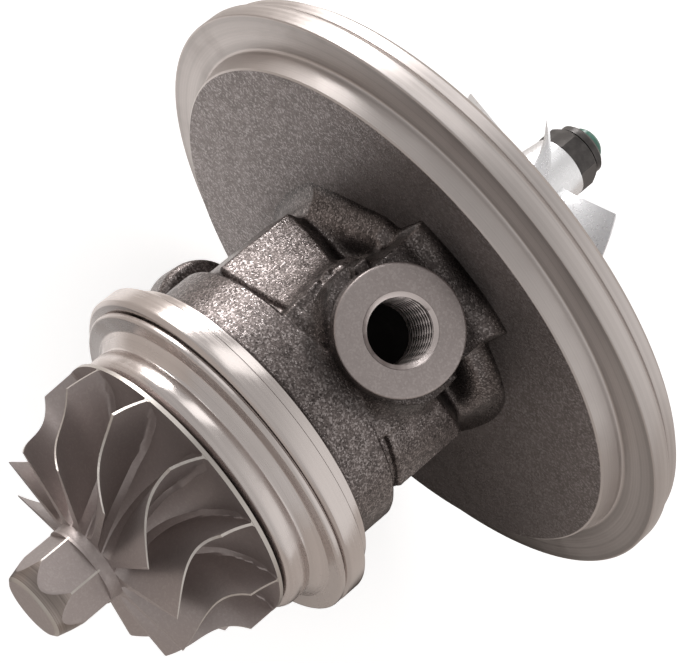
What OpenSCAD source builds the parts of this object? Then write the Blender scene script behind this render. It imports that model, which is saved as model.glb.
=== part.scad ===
// Turbocharger cartridge: bearing housing with rim disc, and the rotor that spins in it.
// The rotor axis is Y, turbine towards -Y, compressor towards +Y, oil inlet boss up (+Z).
// The origin is on the axis, in the turbine-side face of the rim ring. Millimetres.

/* [Rim disc] */
// Outer radius of the clamping rim
rim_r = 56; // [50:0.5:62]
// Width of the clamping rim's cylinder
rim_w = 3.1; // [2:0.1:5]
// Inner radius of the machined ring face
ring_in_r = 49.6; // [46:0.1:52]
// Radius of the cast face inside the ring
cast_face_r = 48.3; // [44:0.1:50]
// Height of the cast face above the ring face
cast_face_h = 3.9; // [2:0.1:6]
// Radius of the spigot that centres the compressor cover
spigot_r = 54.7; // [48:0.1:56]
// Length of the spigot behind the rim
spigot_len = 3.2; // [3:0.1:8]
// Depth of the relief groove at the spigot's root
relief_depth = 0.8; // [0.3:0.1:1.5]
// Width of the relief groove
relief_w = 0.8; // [0.4:0.1:1.5]

/* [Turbine flange] */
// Outer radius of the turbine-side flange
flange_r = 30.65; // [27:0.05:34]
// Distance from the ring face to the flange's front face
flange_front = 42.85; // [38:0.05:48]
// Thickness of the flange
flange_w = 3.85; // [2.5:0.05:6]
// Front chamfer of the flange
flange_chamfer = 0.65; // [0.2:0.05:1.2]
// Radius of the machined step behind the flange
step_r = 28.4; // [27.6:0.1:30]
// Length of the machined step
step_len = 2.4; // [1:0.1:4]
// Depth of the turbine seal's bore behind the flange face
seal_depth = 4.6; // [4:0.1:5.2]

/* [Cast body] */
// Radius of the cast collar behind the flange
collar_r = 25.1; // [24.5:0.1:25.6]
// Distance from the ring face to the collar's end
collar_end = 26.5; // [24:0.1:30]
// Rounding of the collar's end
collar_round = 0.9; // [0.6:0.1:1.9]
// Fillet between the machined step and the collar
step_fillet = 2; // [1:0.1:2.4]
// Radius of the core between collar and disc
core_r = 24.2; // [24.1:0.1:25]
// Half width of the core across its flat sides
core_half = 22.6; // [22.2:0.1:24]
// Length over which the flat sides run out before the disc
flat_run = 3; // [2.5:0.1:4]
// Rounding of the core's cast edges
cast_round = 0.8; // [0.5:0.1:0.9]
// Fillet between the core and the disc
disc_fillet = 3; // [1.5:0.1:4]
// Depth of the cast groove below the collar
cast_groove_depth = 2.9; // [2.8:0.1:4]
// Width of the cast groove behind the collar
cast_groove_w = 2; // [1.9:0.1:4]
// Distance from the ring face to the middle of the valley before the disc, along the valley's axis
valley_mid = 6.4; // [6.2:0.1:8]
// Lean of the valley's axis, so that it comes nearer to the disc towards the sides
valley_lean = 11; // [6:0.5:12]
// Drop of the valley's axis below the rotor axis, so that it gets shallower towards the sides
valley_drop = 6; // [3:0.5:8]
// Width of the valley at the core's surface
valley_w = 5.4; // [4:0.1:6]
// Depth of the valley below the core's surface
valley_depth = 5.8; // [4:0.1:6]
// Rounding of the valley's bottom
valley_round = 2; // [1.5:0.1:2.2]
// Distance of the valley from the rib
valley_side = 1; // [0.5:0.1:3]
// Height at which the valley ends on each side
valley_floor_z = 3; // [0:0.5:8]
// Half width of the raised spine under the oil inlet
spine_half = 12.5; // [11:0.1:14]
// Half width of the rib between oil inlet and disc
rib_half = 10; // [8:0.1:11]
// Height of that rib above the rotor axis
rib_top = 32; // [28:0.1:34]

/* [Oil inlet] */
// Outer radius of the inlet boss
boss_r = 10.5; // [9:0.1:12]
// Height of the boss face above the rotor axis
boss_face_z = 33.6; // [31:0.1:37]
// Distance from the ring face to the boss centre
boss_back = 17.8; // [16:0.1:20]
// Lean of the boss towards the turbine
boss_lean = 9; // [0:0.5:12]
// Height of the boss wall above its fillet
boss_wall = 7; // [5:0.1:9]
// Fillet at the foot of the boss
boss_fillet = 2; // [1:0.1:3]
// Depth of the boss inside the casting
boss_depth = 22; // [18:0.5:24]
// Core radius of the tapped inlet hole
inlet_r = 5.2; // [4:0.05:6]
// Mouth radius of its countersink
inlet_mouth_r = 6; // [5:0.05:7]
// Depth of the tapped hole
inlet_depth = 15; // [10:0.5:16]
// Radius of the two oil drillings
drilling_r = 1.4; // [1:0.1:1.6]
// Height above the tapped hole's bottom where the drillings' axes meet
drilling_start = 3.2; // [2.8:0.1:3.6]

/* [Oil drain] */
// Distance from the ring face to the drain centre
drain_back = 20; // [18:0.5:24]
// Depth of the drain face below the rotor axis
drain_face = 31.5; // [28:0.5:36]
// Radius of the drain bore
drain_r = 7.5; // [6:0.1:9]
// Radius of the drain neck
neck_r = 13.2; // [12:0.1:13.6]
// Radius of the drain flange round its bore
drain_flange_r = 14.5; // [14:0.1:16]
// Distance between the two drain bolts
drain_pitch = 36.5; // [34:0.5:40]
// End radius of the drain lugs
lug_r = 8.3; // [7:0.1:9]
// Thickness of the drain flange
lug_h = 8; // [6:0.5:10]
// Core radius of the tapped drain bolt holes
drain_bolt_r = 3.4; // [2.5:0.05:4]
// Outer radius of the oil chamber below the bearings
chamber_r = 18; // [16:0.1:18.4]
// Wall between the bushes and the oil chamber
chamber_wall = 3; // [2:0.1:4]
// Distance from the ring face to the chamber's turbine end
chamber_start = 32.5; // [30:0.1:34]
// Distance from the ring face to the chamber's compressor end
chamber_end = 8; // [7:0.1:10]
// Depth of the chamber's top below the rotor axis
chamber_top = 2; // [1:0.1:4]
// Half width of the outlet between the two bushes
outlet_half = 3.2; // [2:0.1:4]
// Length of that outlet
outlet_len = 8; // [5:0.1:9]
// Depth of the thrust bearing's oil outlet below the rotor axis
thrust_outlet = 16; // [14:0.1:17]
// Height of the thrust bearing's oil outlet
thrust_outlet_h = 6; // [4:0.1:7]

/* [Bearings] */
// Radius of the shaft's journals
journal_r = 4; // [3.5:0.05:4.5]
// Radial running clearance between journal and bush
journal_gap = 0.03; // [0.01:0.01:0.08]
// Outer radius of the floating bushes
bush_r = 6.5; // [6:0.05:7]
// Radial running clearance between bush and housing
bush_gap = 0.05; // [0.02:0.01:0.1]
// Length of each bush
bush_len = 8; // [6:0.1:9]
// Distance from the ring face to the turbine bush's middle
turbine_bush_mid = 31.5; // [30:0.1:32]
// Distance from the ring face to the compressor bush's middle
compressor_bush_mid = 12; // [11.7:0.1:14]
// Oil holes round each bush
bush_holes = 6; // [4:1:8]
// Radius of those oil holes
bush_hole_r = 0.9; // [0.5:0.1:1.2]
// Depth of the retaining ring grooves in the housing
ring_groove_depth = 0.45; // [0.3:0.05:0.6]
// Thickness of the retaining rings
ring_w = 1; // [0.8:0.05:1.2]
// Inner radius of the retaining rings
ring_in_radius = 5.3; // [4.8:0.05:5.6]
// End clearance between a bush and its retaining rings
ring_gap = 0.2; // [0.1:0.05:0.4]
// Angle of the gap in a split ring
split_angle = 30; // [20:1:60]
// Width of the piston rings
piston_w = 1.2; // [1:0.05:1.4]
// Radial thickness of the piston rings
piston_t = 1.1; // [0.8:0.05:1.2]
// Width of the piston ring grooves
piston_groove_w = 1.6; // [1.45:0.05:1.8]
// Depth of the piston ring grooves
piston_groove_depth = 1.3; // [1.25:0.05:1.6]
// Distance of the turbine ring's groove behind the flange face
turbine_groove = 1.2; // [0.8:0.1:1.8]

/* [Turbine wheel] */
// Radius of the turbine wheel
wheel_r = 24.8; // [22:0.1:27]
// Gap between the shield's crown and the back of the wheel's disc
wheel_gap = 0.6; // [0.6:0.05:2]
// Thickness of the disc at its rim
wheel_rim_w = 0.8; // [0.5:0.05:1.2]
// Rise of the disc's back face towards the hub
wheel_back_rise = 2; // [1:0.1:2.2]
// Blades on the turbine wheel
wheel_blades = 12; // [9:1:13]
// Angle of the first blade's root at the rim
wheel_phase = 7.5; // [0:0.5:30]
// Width of the blade's inlet edge along the axis
inlet_w = 5.36; // [4:0.05:7]
// Circumferential lean of the inlet edge
inlet_lean = 5.07; // [0:0.1:8]
// Axial length of the blade's shroud edge
shroud_len = 11; // [8:0.1:14]
// Blade tip radius at the outlet edge
outlet_r = 20.5; // [18:0.1:23]
// Turn of the blade from the inlet corner to the outlet edge
outlet_turn = 25.1; // [15:0.1:35]
// Share of that turn that runs on straight from the corner
turn_start = 0.1; // [0:0.01:0.3]
// Share of that turn that comes late, close to the outlet
turn_late = 0.15; // [0:0.01:0.4]
// Blade thickness at the tip
wheel_tip_t = 0.75; // [0.5:0.05:1]
// Blade thickness at the root
wheel_root_t = 1.7; // [1:0.05:2.2]
// Radius of the hub where the nose starts
nose_r = 7.07; // [6:0.05:8]
// Length of the hub from the disc's front to the nose
hub_len = 19; // [17:0.1:22]
// Hexagon of the nose across its flats
nose_af = 12.4; // [10:0.1:13]
// Length of the nose
nose_len = 10.5; // [8:0.1:13]
// Radius of the nose's end face
nose_end_r = 5.85; // [5:0.05:6.2]
// Length of the turned chamfer on the nose
nose_chamfer = 3.4; // [1:0.1:4]
// Angle of the nose's first corner
nose_phase = 18.7; // [0:0.1:60]
// Radius of the seal boss behind the wheel
seal_boss_r = 8.4; // [7.5:0.05:9]
// Clearance of rotating parts in their bores
run_gap = 0.35; // [0.3:0.05:0.6]

/* [Heat shield] */
// Outer radius of the shield's brim
brim_r = 29.7; // [28.5:0.1:29.7]
// Thickness of the brim
brim_w = 1.3; // [0.8:0.05:2]
// Inner radius of the brim, at the foot of the crown
brim_in_r = 26.6; // [26:0.1:28]
// Height of the sloping foot of the crown
foot_h = 1.7; // [1:0.1:2.2]
// Depth of the neck above that foot
crown_neck = 0.3; // [0:0.05:0.6]
// Height over which the neck runs out
neck_h = 0.9; // [0.5:0.1:1.4]
// Radius of the crown
crown_r = 24.9; // [24:0.1:25.5]
// Height of the crown above the flange
crown_h = 7.75; // [6:0.05:8]
// Sheet thickness of the crown
sheet_t = 0.9; // [0.5:0.05:1.2]
// Radius of the crown's rolled edge
crown_edge = 2; // [1:0.1:2.5]
// Hole radius round the wheel's seal boss
shield_hole_r = 10.4; // [10:0.1:12]
// Depth of the dished middle below the crown
shield_dish = 2.1; // [1.2:0.1:2.4]
// Width of the flat lip round the hole
shield_lip = 3; // [2:0.1:5]
// Sideways rest of the loose shield on the flange, until it is clamped
shield_shift = 0.9; // [0:0.1:0.9]

/* [Thrust bearing and seal plate] */
// Distance from the ring face to the thrust bearing's seat
thrust_seat = 3; // [2.5:0.1:4]
// Thickness of the thrust bearing
thrust_w = 2.8; // [2:0.1:3.5]
// Outer radius of the thrust bearing
thrust_r = 15; // [13:0.1:16]
// Axial clearance of the thrust rings
thrust_gap = 0.15; // [0.05:0.05:0.3]
// Radius of the thrust rings
thrust_ring_r = 8; // [7:0.1:8.6]
// Thickness of the thrust rings
thrust_ring_w = 1.7; // [1.2:0.1:2]
// Radius of the sleeve inside the thrust bearing
thrust_sleeve_r = 4.6; // [4.2:0.05:5]
// Free space round the inner thrust ring
well_gap = 1.2; // [0.8:0.1:1.6]
// Oil grooves in the thrust bearing's face
pad_grooves = 4; // [3:1:6]
// Depth of those oil grooves
pad_depth = 0.4; // [0.2:0.05:0.6]
// Width of those oil grooves
pad_w = 1; // [0.6:0.1:1.5]
// Half width of the thrust bearing's opening at the bottom
thrust_open = 4.6; // [3:0.1:6]
// Thrust bearing screws
screw_count = 3; // [2:1:4]
// Radius of the circle of those screws
screw_circle_r = 12; // [11:0.1:12.4]
// Shank radius of the screws
screw_r = 1.6; // [1:0.05:2]
// Angle of the first screw
screw_phase = 30; // [0:1:60]
// Head radius of the screws
screw_head_r = 2.7; // [2:0.05:2.8]
// Head height of the screws
screw_head_h = 1.3; // [0.8:0.05:1.5]
// Length of the screws below the head
screw_len = 9; // [6:0.5:10]
// Radius of the hexagon socket's corners
socket_r = 1.1; // [0.8:0.05:1.4]
// Radius of the housing's bore for the seal plate
plate_r = 20.5; // [19:0.1:22]
// Clearance of the seal plate in that bore
plate_gap = 0.05; // [0.02:0.01:0.1]
// Thickness of the seal plate's flange
plate_w = 2.1; // [1.8:0.1:3]
// Radius of the seal plate's raised middle
plate_mid_r = 16; // [14:0.1:17]
// Distance between the outer thrust ring and the seal plate
plate_space = 0.8; // [0.7:0.05:1.2]
// Distance of the compressor ring's groove in front of the plate's back
compressor_groove = 0.9; // [0.5:0.05:1.2]
// Thickness of the oil deflector
deflector_w = 0.6; // [0.4:0.05:0.8]
// Outer radius of the oil deflector
deflector_r = 17.5; // [16:0.1:19]
// Section radius of the seal plate's O-ring
o_ring_r = 0.7; // [0.5:0.05:0.9]
// Thickness of the snap ring
snap_w = 1.2; // [1:0.05:1.5]
// Depth of the snap ring's groove
snap_depth = 1.1; // [0.8:0.05:1.4]
// Radial width of the snap ring
snap_band = 2.6; // [2:0.1:3.2]
// Outer radius of the seal sleeve
seal_sleeve_r = 6.4; // [6:0.05:7]

/* [Compressor wheel] */
// Radius of the compressor wheel at its outlet
exducer_r = 27; // [25:0.1:28]
// Blade tip radius at its inlet
inducer_r = 19.5; // [18:0.1:22]
// Gap between the wheel's back and the housing recess
back_gap = 0.4; // [0.3:0.05:0.8]
// Depth of the housing's recess for the wheel
recess_depth = 1.1; // [0.8:0.1:1.2]
// Width of the blades at the outlet
exducer_w = 3.5; // [2.5:0.1:5]
// Distance from the ring face to the blades' inlet corner
inducer_y = 32.5; // [28:0.1:34]
// Long blades; as many short ones stand between them
long_blades = 6; // [5:1:7]
// Angle of the first long blade at its inlet
long_phase = 57.6; // [0:0.1:60]
// Turn of the blades from inlet to outlet
blade_wrap = 60; // [40:1:75]
// Share of the length at which a short blade starts
short_start = 0.34; // [0.2:0.01:0.5]
// Blade thickness at the tip
vane_tip_t = 0.5; // [0.4:0.05:0.8]
// Blade thickness at the root
vane_root_t = 1.2; // [0.8:0.05:1.6]
// Radius of the hub at the blades' inlet
hub_nose_r = 6.2; // [5.5:0.05:7]
// Distance from the ring face to the hub's end, where the nut sits
hub_end = 38.1; // [36:0.1:40]
// Length of hub in front of the blades' inlet corner, where the blades' roots start
hub_lead = 0.8; // [0.4:0.1:1.2]
// Taper of the hub from the blades to the nut's seat
hub_taper = 0.6; // [0.2:0.05:0.8]

/* [Shaft and nut] */
// Radius of the shaft's stub through the compressor wheel
stub_r = 3; // [2.5:0.05:3.4]
// Radius of the shaft between its journals
waist_r = 3.6; // [3.2:0.05:3.8]
// Nut hexagon across its flats
nut_af = 10; // [8:0.1:11]
// Height of the nut's hexagon
nut_h = 4; // [3:0.1:5]
// Radius of the nut's collar
nut_collar_r = 4.75; // [4:0.05:5]
// Height of the nut's collar
nut_collar_h = 1.9; // [1.4:0.1:2.5]
// Depth of the groove between hexagon and collar
nut_groove = 0.35; // [0.1:0.05:0.5]
// Height of the turned chamfer on the hexagon
nut_chamfer = 0.8; // [0.4:0.05:1.2]
// Chamfer of the collar and of the shaft's end
end_chamfer = 0.5; // [0.2:0.05:0.6]
// Length of the shaft's end beyond the nut
shaft_proud = 1.8; // [1:0.1:3]

/* [Hidden] */
// Segments of the large turned faces
fine = 96;
// Segments of small holes and pins
small = 32;
// Overlap that makes joined bodies cut and merge cleanly
lap = 0.5;
// Depth of the blades' roots inside their hubs
root_in = 1;
// Step of the blade tips below the rim, so that the rim's edge stays whole
tip_in = 0.05;
// Steps of the hub curves, of the turbine blade's two edges and of the compressor blade
hub_steps = 14;
inlet_steps = 3;
shroud_steps = 9;
vane_steps = 9;
// Steps of each rounded end of the drain flange
lug_steps = 12;
// Clearance of pieces that are pushed on or in
push_gap = 0.02;
// Steps of each small rounding
steps = 5;
// Edge break on machined corners
edge = 0.3;

flange_y = -flange_front;
flange_back_y = flange_y + flange_w;
step_back_y = flange_back_y + step_len;
cast_y = -cast_face_h;
spigot_end = rim_w + relief_w + spigot_len;
recess_y = spigot_end - recess_depth;
bush_bore_r = bush_r + bush_gap;
seal_bore_r = seal_boss_r + run_gap;
seal_end_y = flange_y + seal_depth;
groove_r = collar_r - cast_groove_depth;
core_y = -collar_end + cast_groove_w;
thrust_seat_y = -thrust_seat;
thrust_front_y = thrust_seat_y + thrust_w;
inner_ring_y = thrust_seat_y - thrust_gap - thrust_ring_w;
well_r = thrust_ring_r + well_gap;
well_y = inner_ring_y - well_gap;
outer_ring_y = thrust_front_y + thrust_gap;
sleeve_y = outer_ring_y + thrust_ring_w;
plate_y = sleeve_y + plate_space;
deflector_y = plate_y - deflector_w;
snap_y = plate_y + plate_w;
wheel_back = recess_y + back_gap;
plate_bore_r = seal_sleeve_r + run_gap;
nut_end = hub_end + nut_h + nut_collar_h;
shaft_end = nut_end + shaft_proud;
seal_boss_y = seal_end_y - run_gap;
turbine_groove_y = flange_y + turbine_groove;
compressor_groove_y = plate_y + compressor_groove;
ring_side = (piston_groove_w - piston_w) / 2;
wheel_tip_r = wheel_r - tip_in;
crown_y = flange_y - crown_h;
back_y = crown_y - wheel_gap;
wheel_y = back_y - wheel_rim_w;
hub_y = wheel_y - hub_len;

// Colours of the drawing
iron = [0.36, 0.33, 0.31];
steel = [0.72, 0.71, 0.69];
alloy = [0.86, 0.87, 0.89];
nickel = [0.47, 0.43, 0.41];
bronze = [0.72, 0.55, 0.30];
black = [0.12, 0.12, 0.12];

// Points on a circular arc about (cx, cy)
function arc(cx, cy, r, a0, a1, n = steps) =
    [for (i = [0 : n]) let (a = a0 + (a1 - a0) * i / n) [cx + r * cos(a), cy + r * sin(a)]];

// A solid turned about the rotor axis from (radius, y) points
module turned(points, segments = fine) {
    rotate([-90, 0, 0])
        rotate_extrude($fn = segments)
            polygon(points);
}

// A plain disc or tube about the rotor axis, from y0 to y1
module tube(r_in, r_out, y0, y1, segments = fine) {
    turned([[r_in, y0], [r_out, y0], [r_out, y1], [r_in, y1]], segments);
}

// A solid disc about the rotor axis
module plug(r, y0, y1, segments = fine) {
    tube(0, r, y0, y1, segments);
}

// Wedge that opens a split ring at the given angle about the rotor axis
module split(r, y0, y1, at = 0) {
    rotate([0, at, 0])
        translate([0, y0 - lap, -r * sin(split_angle / 2)])
            cube([2 * r, y1 - y0 + 2 * lap, 2 * r * sin(split_angle / 2)]);
}

// Point at radius r, angle a about the rotor axis and place y along it
function polar(r, a, y) = [r * cos(a), y, r * sin(a)];

// Angle that an arc of length t covers at radius r
function subtend(t, r) = t / r * 180 / PI;

// A blade through stations of [root r, root y, root angle, tip r, tip y, tip angle]
module blade(stations, root_t, tip_t) {
    n = len(stations);
    points = [for (s = stations) each [
        polar(s[0], s[2] - subtend(root_t / 2, s[0]), s[1]),
        polar(s[0], s[2] + subtend(root_t / 2, s[0]), s[1]),
        polar(s[3], s[5] + subtend(tip_t / 2, s[3]), s[4]),
        polar(s[3], s[5] - subtend(tip_t / 2, s[3]), s[4])]];
    sides = [for (i = [0 : n - 2]) for (k = [0 : 3]) let (a = 4 * i + k, b = 4 * i + (k + 1) % 4)
        each [[a, b, b + 4], [a, b + 4, a + 4]]];
    last = 4 * (n - 1);
    ends = [[0, 2, 1], [0, 3, 2], [last, last + 1, last + 2], [last, last + 2, last + 3]];
    polyhedron(points, concat(sides, ends), convexity = 6);
}

// Bearing housing: iron casting with rim disc, turbine flange, oil inlet and drain

// Outline of the housing's turned and cast outside
housing_outline = concat(
    [[0, flange_y], [flange_r - flange_chamfer, flange_y], [flange_r, flange_y + flange_chamfer]],
    [[flange_r, flange_back_y], [step_r, flange_back_y], [step_r, step_back_y]],
    arc(collar_r + step_fillet, step_back_y + step_fillet, step_fillet, 270, 180),
    arc(collar_r - collar_round, -collar_end - collar_round, collar_round, 0, 90),
    arc(groove_r + cast_round, -collar_end + cast_round, cast_round, 270, 180),
    arc(groove_r + cast_round, core_y - cast_round, cast_round, 180, 90),
    arc(core_r - cast_round, core_y + cast_round, cast_round, 270, 360),
    arc(core_r + disc_fillet, cast_y - disc_fillet, disc_fillet, 180, 90),
    [[cast_face_r, cast_y], [ring_in_r - edge, -edge], [ring_in_r, 0]],
    [[rim_r - edge, 0], [rim_r, edge], [rim_r, rim_w], [rim_r - relief_w, rim_w + relief_w]],
    [[spigot_r - relief_depth, rim_w + relief_w], [spigot_r - relief_depth, rim_w + 2 * relief_w]],
    [[spigot_r, rim_w + 2 * relief_w], [spigot_r, spigot_end - relief_w]],
    [[spigot_r - relief_w, spigot_end], [0, spigot_end]]);

// Bores along the rotor axis, from the turbine seal to the compressor wheel's recess
housing_bores = [[0, flange_y - lap], [seal_bore_r, flange_y - lap], [seal_bore_r, seal_end_y],
    [bush_bore_r, seal_end_y], [bush_bore_r, well_y], [well_r, well_y], [well_r, thrust_seat_y],
    [plate_r, thrust_seat_y], [plate_r, snap_y], [plate_r + snap_depth, snap_y],
    [plate_r + snap_depth, snap_y + snap_w], [plate_r, snap_y + snap_w], [plate_r, recess_y],
    [exducer_r + 2 * back_gap, recess_y], [exducer_r + 2 * back_gap, spigot_end + lap],
    [0, spigot_end + lap]];

// Places of the four retaining rings, two at each bush
function ring_places() = [for (mid = [turbine_bush_mid, compressor_bush_mid]) each
    [-mid - bush_len / 2 - ring_gap - ring_w, -mid + bush_len / 2 + ring_gap]];

// Local frame of the oil inlet: origin in the boss face, z out of it
module at_inlet() {
    translate([0, -boss_back, boss_face_z])
        rotate([boss_lean, 0, 0])
            children();
}

// Flat sides of the core, running out before the disc
module side_flats() {
    flat_z = sqrt(pow(core_r, 2) - pow(core_half, 2)) + lap;
    start_y = lap - collar_end;
    end_y = cast_y - disc_fillet - flat_run / 2;
    for (side = [0, 1])
        mirror([side, 0, 0])
            translate([0, 0, -flat_z])
                linear_extrude(2 * flat_z)
                    polygon([[core_half, start_y], [core_half + flat_run, start_y],
                        [core_half + flat_run, end_y + flat_run], [core_half, end_y]]);
}

// Raised spine, rib and boss of the oil inlet
module inlet_casting() {
    intersection() {
        plug(collar_r, -collar_end - lap, cast_y + lap);
        translate([-spine_half, -collar_end - lap, 0])
            cube([2 * spine_half, collar_end, collar_r + lap]);
    }
    intersection() {
        plug(rib_top, -boss_back, cast_y + lap);
        translate([-rib_half, -boss_back, 0])
            cube([2 * rib_half, boss_back, rib_top + lap]);
    }
    at_inlet()
        rotate_extrude($fn = fine)
            polygon(concat([[0, -boss_depth], [boss_r + boss_fillet, -boss_depth]],
                arc(boss_r + boss_fillet, -boss_wall, boss_fillet, 270, 180),
                [[boss_r, -edge], [boss_r - edge, 0], [0, 0]]));
}

// Neck and two-bolt flange of the oil drain
module drain_casting() {
    reach = drain_pitch / 2;
    tangent = acos((drain_flange_r - lug_r) / reach);
    translate([0, -drain_back, -drain_face]) {
        cylinder(r = neck_r, h = drain_face - bush_bore_r - lap, $fn = fine);
        linear_extrude(lug_h)
            polygon(concat(
                arc(reach, 0, lug_r, -tangent, tangent, lug_steps),
                arc(0, 0, drain_flange_r, tangent, 180 - tangent, lug_steps),
                arc(-reach, 0, lug_r, 180 - tangent, 180 + tangent, lug_steps),
                arc(0, 0, drain_flange_r, 180 + tangent, 360 - tangent, lug_steps)));
    }
}

// Valley before the disc, cut on both sides of the spine
module valleys() {
    top_r = core_r + valley_drop;
    for (side = [0, 1])
        mirror([side, 0, 0])
            intersection() {
                rotate([valley_lean, 0, 0])
                    translate([0, 0, -valley_drop])
                        turned(concat(
                            [[rim_r, -valley_mid - valley_w], [top_r, -valley_mid - valley_w / 2]],
                            arc(top_r - valley_depth + valley_round, -valley_mid, valley_round, 250, 110),
                            [[top_r, -valley_mid + valley_w / 2], [rim_r, -valley_mid + valley_w / 2]]));
                translate([rib_half + valley_side, -boss_back, valley_floor_z])
                    cube([core_r, boss_back, core_r + lap]);
            }
}

// Tapped inlet hole with countersink, and the drillings that feed the two bushes
module oil_feed() {
    at_inlet() {
        translate([0, 0, -inlet_depth])
            cylinder(r = inlet_r, h = inlet_depth + lap, $fn = fine);
        translate([0, 0, inlet_r - inlet_mouth_r])
            cylinder(r1 = inlet_r, r2 = inlet_mouth_r, h = inlet_mouth_r - inlet_r, $fn = fine);
        cylinder(r = inlet_mouth_r, h = lap, $fn = fine);
    }
    start_y = -boss_back + sin(boss_lean) * (inlet_depth - drilling_start);
    start_z = boss_face_z - cos(boss_lean) * (inlet_depth - drilling_start);
    for (mid = [turbine_bush_mid, compressor_bush_mid]) {
        run = -mid - start_y;
        translate([0, start_y, start_z])
            rotate([180 + atan2(run, start_z - journal_r), 0, 0])
                cylinder(r = drilling_r, h = norm([run, start_z - bush_r]), $fn = small);
    }
}

// Oil chamber below the bearings, its outlets and the drain bore
module oil_return() {
    difference() {
        tube(bush_r + chamber_wall, chamber_r, -chamber_start, -chamber_end);
        translate([-core_r, -rim_r, -chamber_top])
            cube([2 * core_r, 2 * rim_r, core_r]);
    }
    translate([-outlet_half, -drain_back - outlet_len / 2, -chamber_r + lap])
        cube([2 * outlet_half, outlet_len, chamber_r - lap]);
    translate([-thrust_open, -chamber_end - lap, -thrust_outlet])
        cube([2 * thrust_open, chamber_end - thrust_seat + 2 * lap, thrust_outlet_h]);
    translate([0, -drain_back, -drain_face - lap])
        cylinder(r = drain_r, h = drain_face - bush_r - chamber_wall, $fn = fine);
    for (side = [-1, 1])
        translate([side * drain_pitch / 2, -drain_back, -drain_face - lap])
            cylinder(r = drain_bolt_r, h = lug_h + 2 * lap, $fn = fine);
}

// Places the thrust bearing's screws round the rotor axis
module at_screws() {
    for (i = [0 : screw_count - 1])
        rotate([0, screw_phase + i * 360 / screw_count, 0])
            translate([screw_circle_r, 0, 0])
                children();
}

module bearing_housing() {
    color(iron)
        difference() {
            union() {
                turned(housing_outline);
                inlet_casting();
                drain_casting();
            }
            side_flats();
            valleys();
            turned(housing_bores);
            for (y = ring_places())
                plug(bush_bore_r + ring_groove_depth, y, y + ring_w);
            oil_feed();
            oil_return();
            at_screws()
                plug(screw_r + push_gap, thrust_front_y - screw_len - lap, thrust_front_y, small);
        }
}

// Heat shield: pressed stainless cup between flange and turbine wheel
module heat_shield() {
    foot_y = flange_y - brim_w;
    neck_y = foot_y - foot_h;
    dish_y = crown_y + shield_dish;
    edge_r = crown_r - crown_edge;
    edge_y = crown_y + crown_edge;
    color(steel)
        translate([shield_shift, 0, 0])
            turned(concat(
                [[brim_r, flange_y], [brim_r, foot_y + edge], [brim_r - edge, foot_y], [brim_in_r, foot_y]],
                [[crown_r - crown_neck, neck_y], [crown_r, neck_y - neck_h]],
                arc(edge_r, edge_y, crown_edge, 0, -90),
                [[shield_hole_r + shield_lip, dish_y], [shield_hole_r, dish_y]],
                [[shield_hole_r, dish_y + sheet_t], [shield_hole_r + shield_lip, dish_y + sheet_t]],
                arc(edge_r, edge_y, crown_edge - sheet_t, -90, 0),
                [[crown_r - sheet_t, flange_y]]));
}

// Turbine wheel: cast nickel alloy, blades from the rim to the nose

// Hub radius at place y, a quarter ellipse from the disc's front to the nose
function hub_radius(y) = wheel_r
    - (wheel_r - nose_r) * sqrt(max(0, 1 - pow((y - hub_y) / hub_len, 2)));

hub_curve = [for (i = [0 : hub_steps]) let (a = 90 * i / hub_steps)
    [wheel_r - (wheel_r - nose_r) * cos(a), hub_y + hub_len * sin(a)]];

// Turn of a turbine blade along its inlet edge, v from rim to corner
function inlet_turn(v) = inlet_lean * (1.5 * v - 0.5 * v * v);

// Turn of a turbine blade along its shroud edge, u from corner to outlet
function shroud_turn(u) = inlet_lean
    + outlet_turn * (turn_start * u - (1 + turn_start - turn_late) * u * u - turn_late * u * u * u);

wheel_stations = concat(
    [for (i = [0 : inlet_steps - 1])
        let (v = i / inlet_steps, y = wheel_y + wheel_rim_w / 2 * (1 - v) - inlet_w * v)
            [hub_radius(min(y, wheel_y)) - root_in, y, inlet_turn(v), wheel_tip_r, y, inlet_turn(v)]],
    [for (i = [0 : shroud_steps]) let (u = i / shroud_steps, y = wheel_y - inlet_w - shroud_len * u)
        [hub_radius(y) - root_in, y - root_in * u, shroud_turn(u),
            outlet_r + (wheel_tip_r - outlet_r) * pow(1 - u, 4), y, shroud_turn(u)]]);

module turbine_wheel() {
    groove_in = seal_boss_r - piston_groove_depth;
    groove_end = turbine_groove_y + piston_groove_w;
    corner_r = nose_af / 2 / cos(30);
    nose_y = hub_y - nose_len;
    color(nickel) {
        turned(concat([[0, hub_y - lap], [nose_r, hub_y - lap]], hub_curve,
            [[wheel_r, back_y], [wheel_r - root_in, back_y]],
            arc(seal_boss_r + root_in, back_y + wheel_back_rise + root_in, root_in, 270, 180),
            [[seal_boss_r, turbine_groove_y], [groove_in, turbine_groove_y], [groove_in, groove_end]],
            [[seal_boss_r, groove_end], [seal_boss_r, seal_boss_y], [0, seal_boss_y]]));
        intersection() {
            rotate([-90, -nose_phase, 0])
                translate([0, 0, nose_y])
                    cylinder(r = corner_r, h = nose_len, $fn = 6);
            turned([[0, nose_y], [nose_end_r, nose_y], [corner_r, nose_y + nose_chamfer],
                [corner_r, hub_y], [0, hub_y]]);
        }
        for (i = [0 : wheel_blades - 1])
            rotate([0, -wheel_phase - i * 360 / wheel_blades, 0])
                blade(wheel_stations, wheel_root_t, wheel_tip_t);
    }
}

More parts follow.
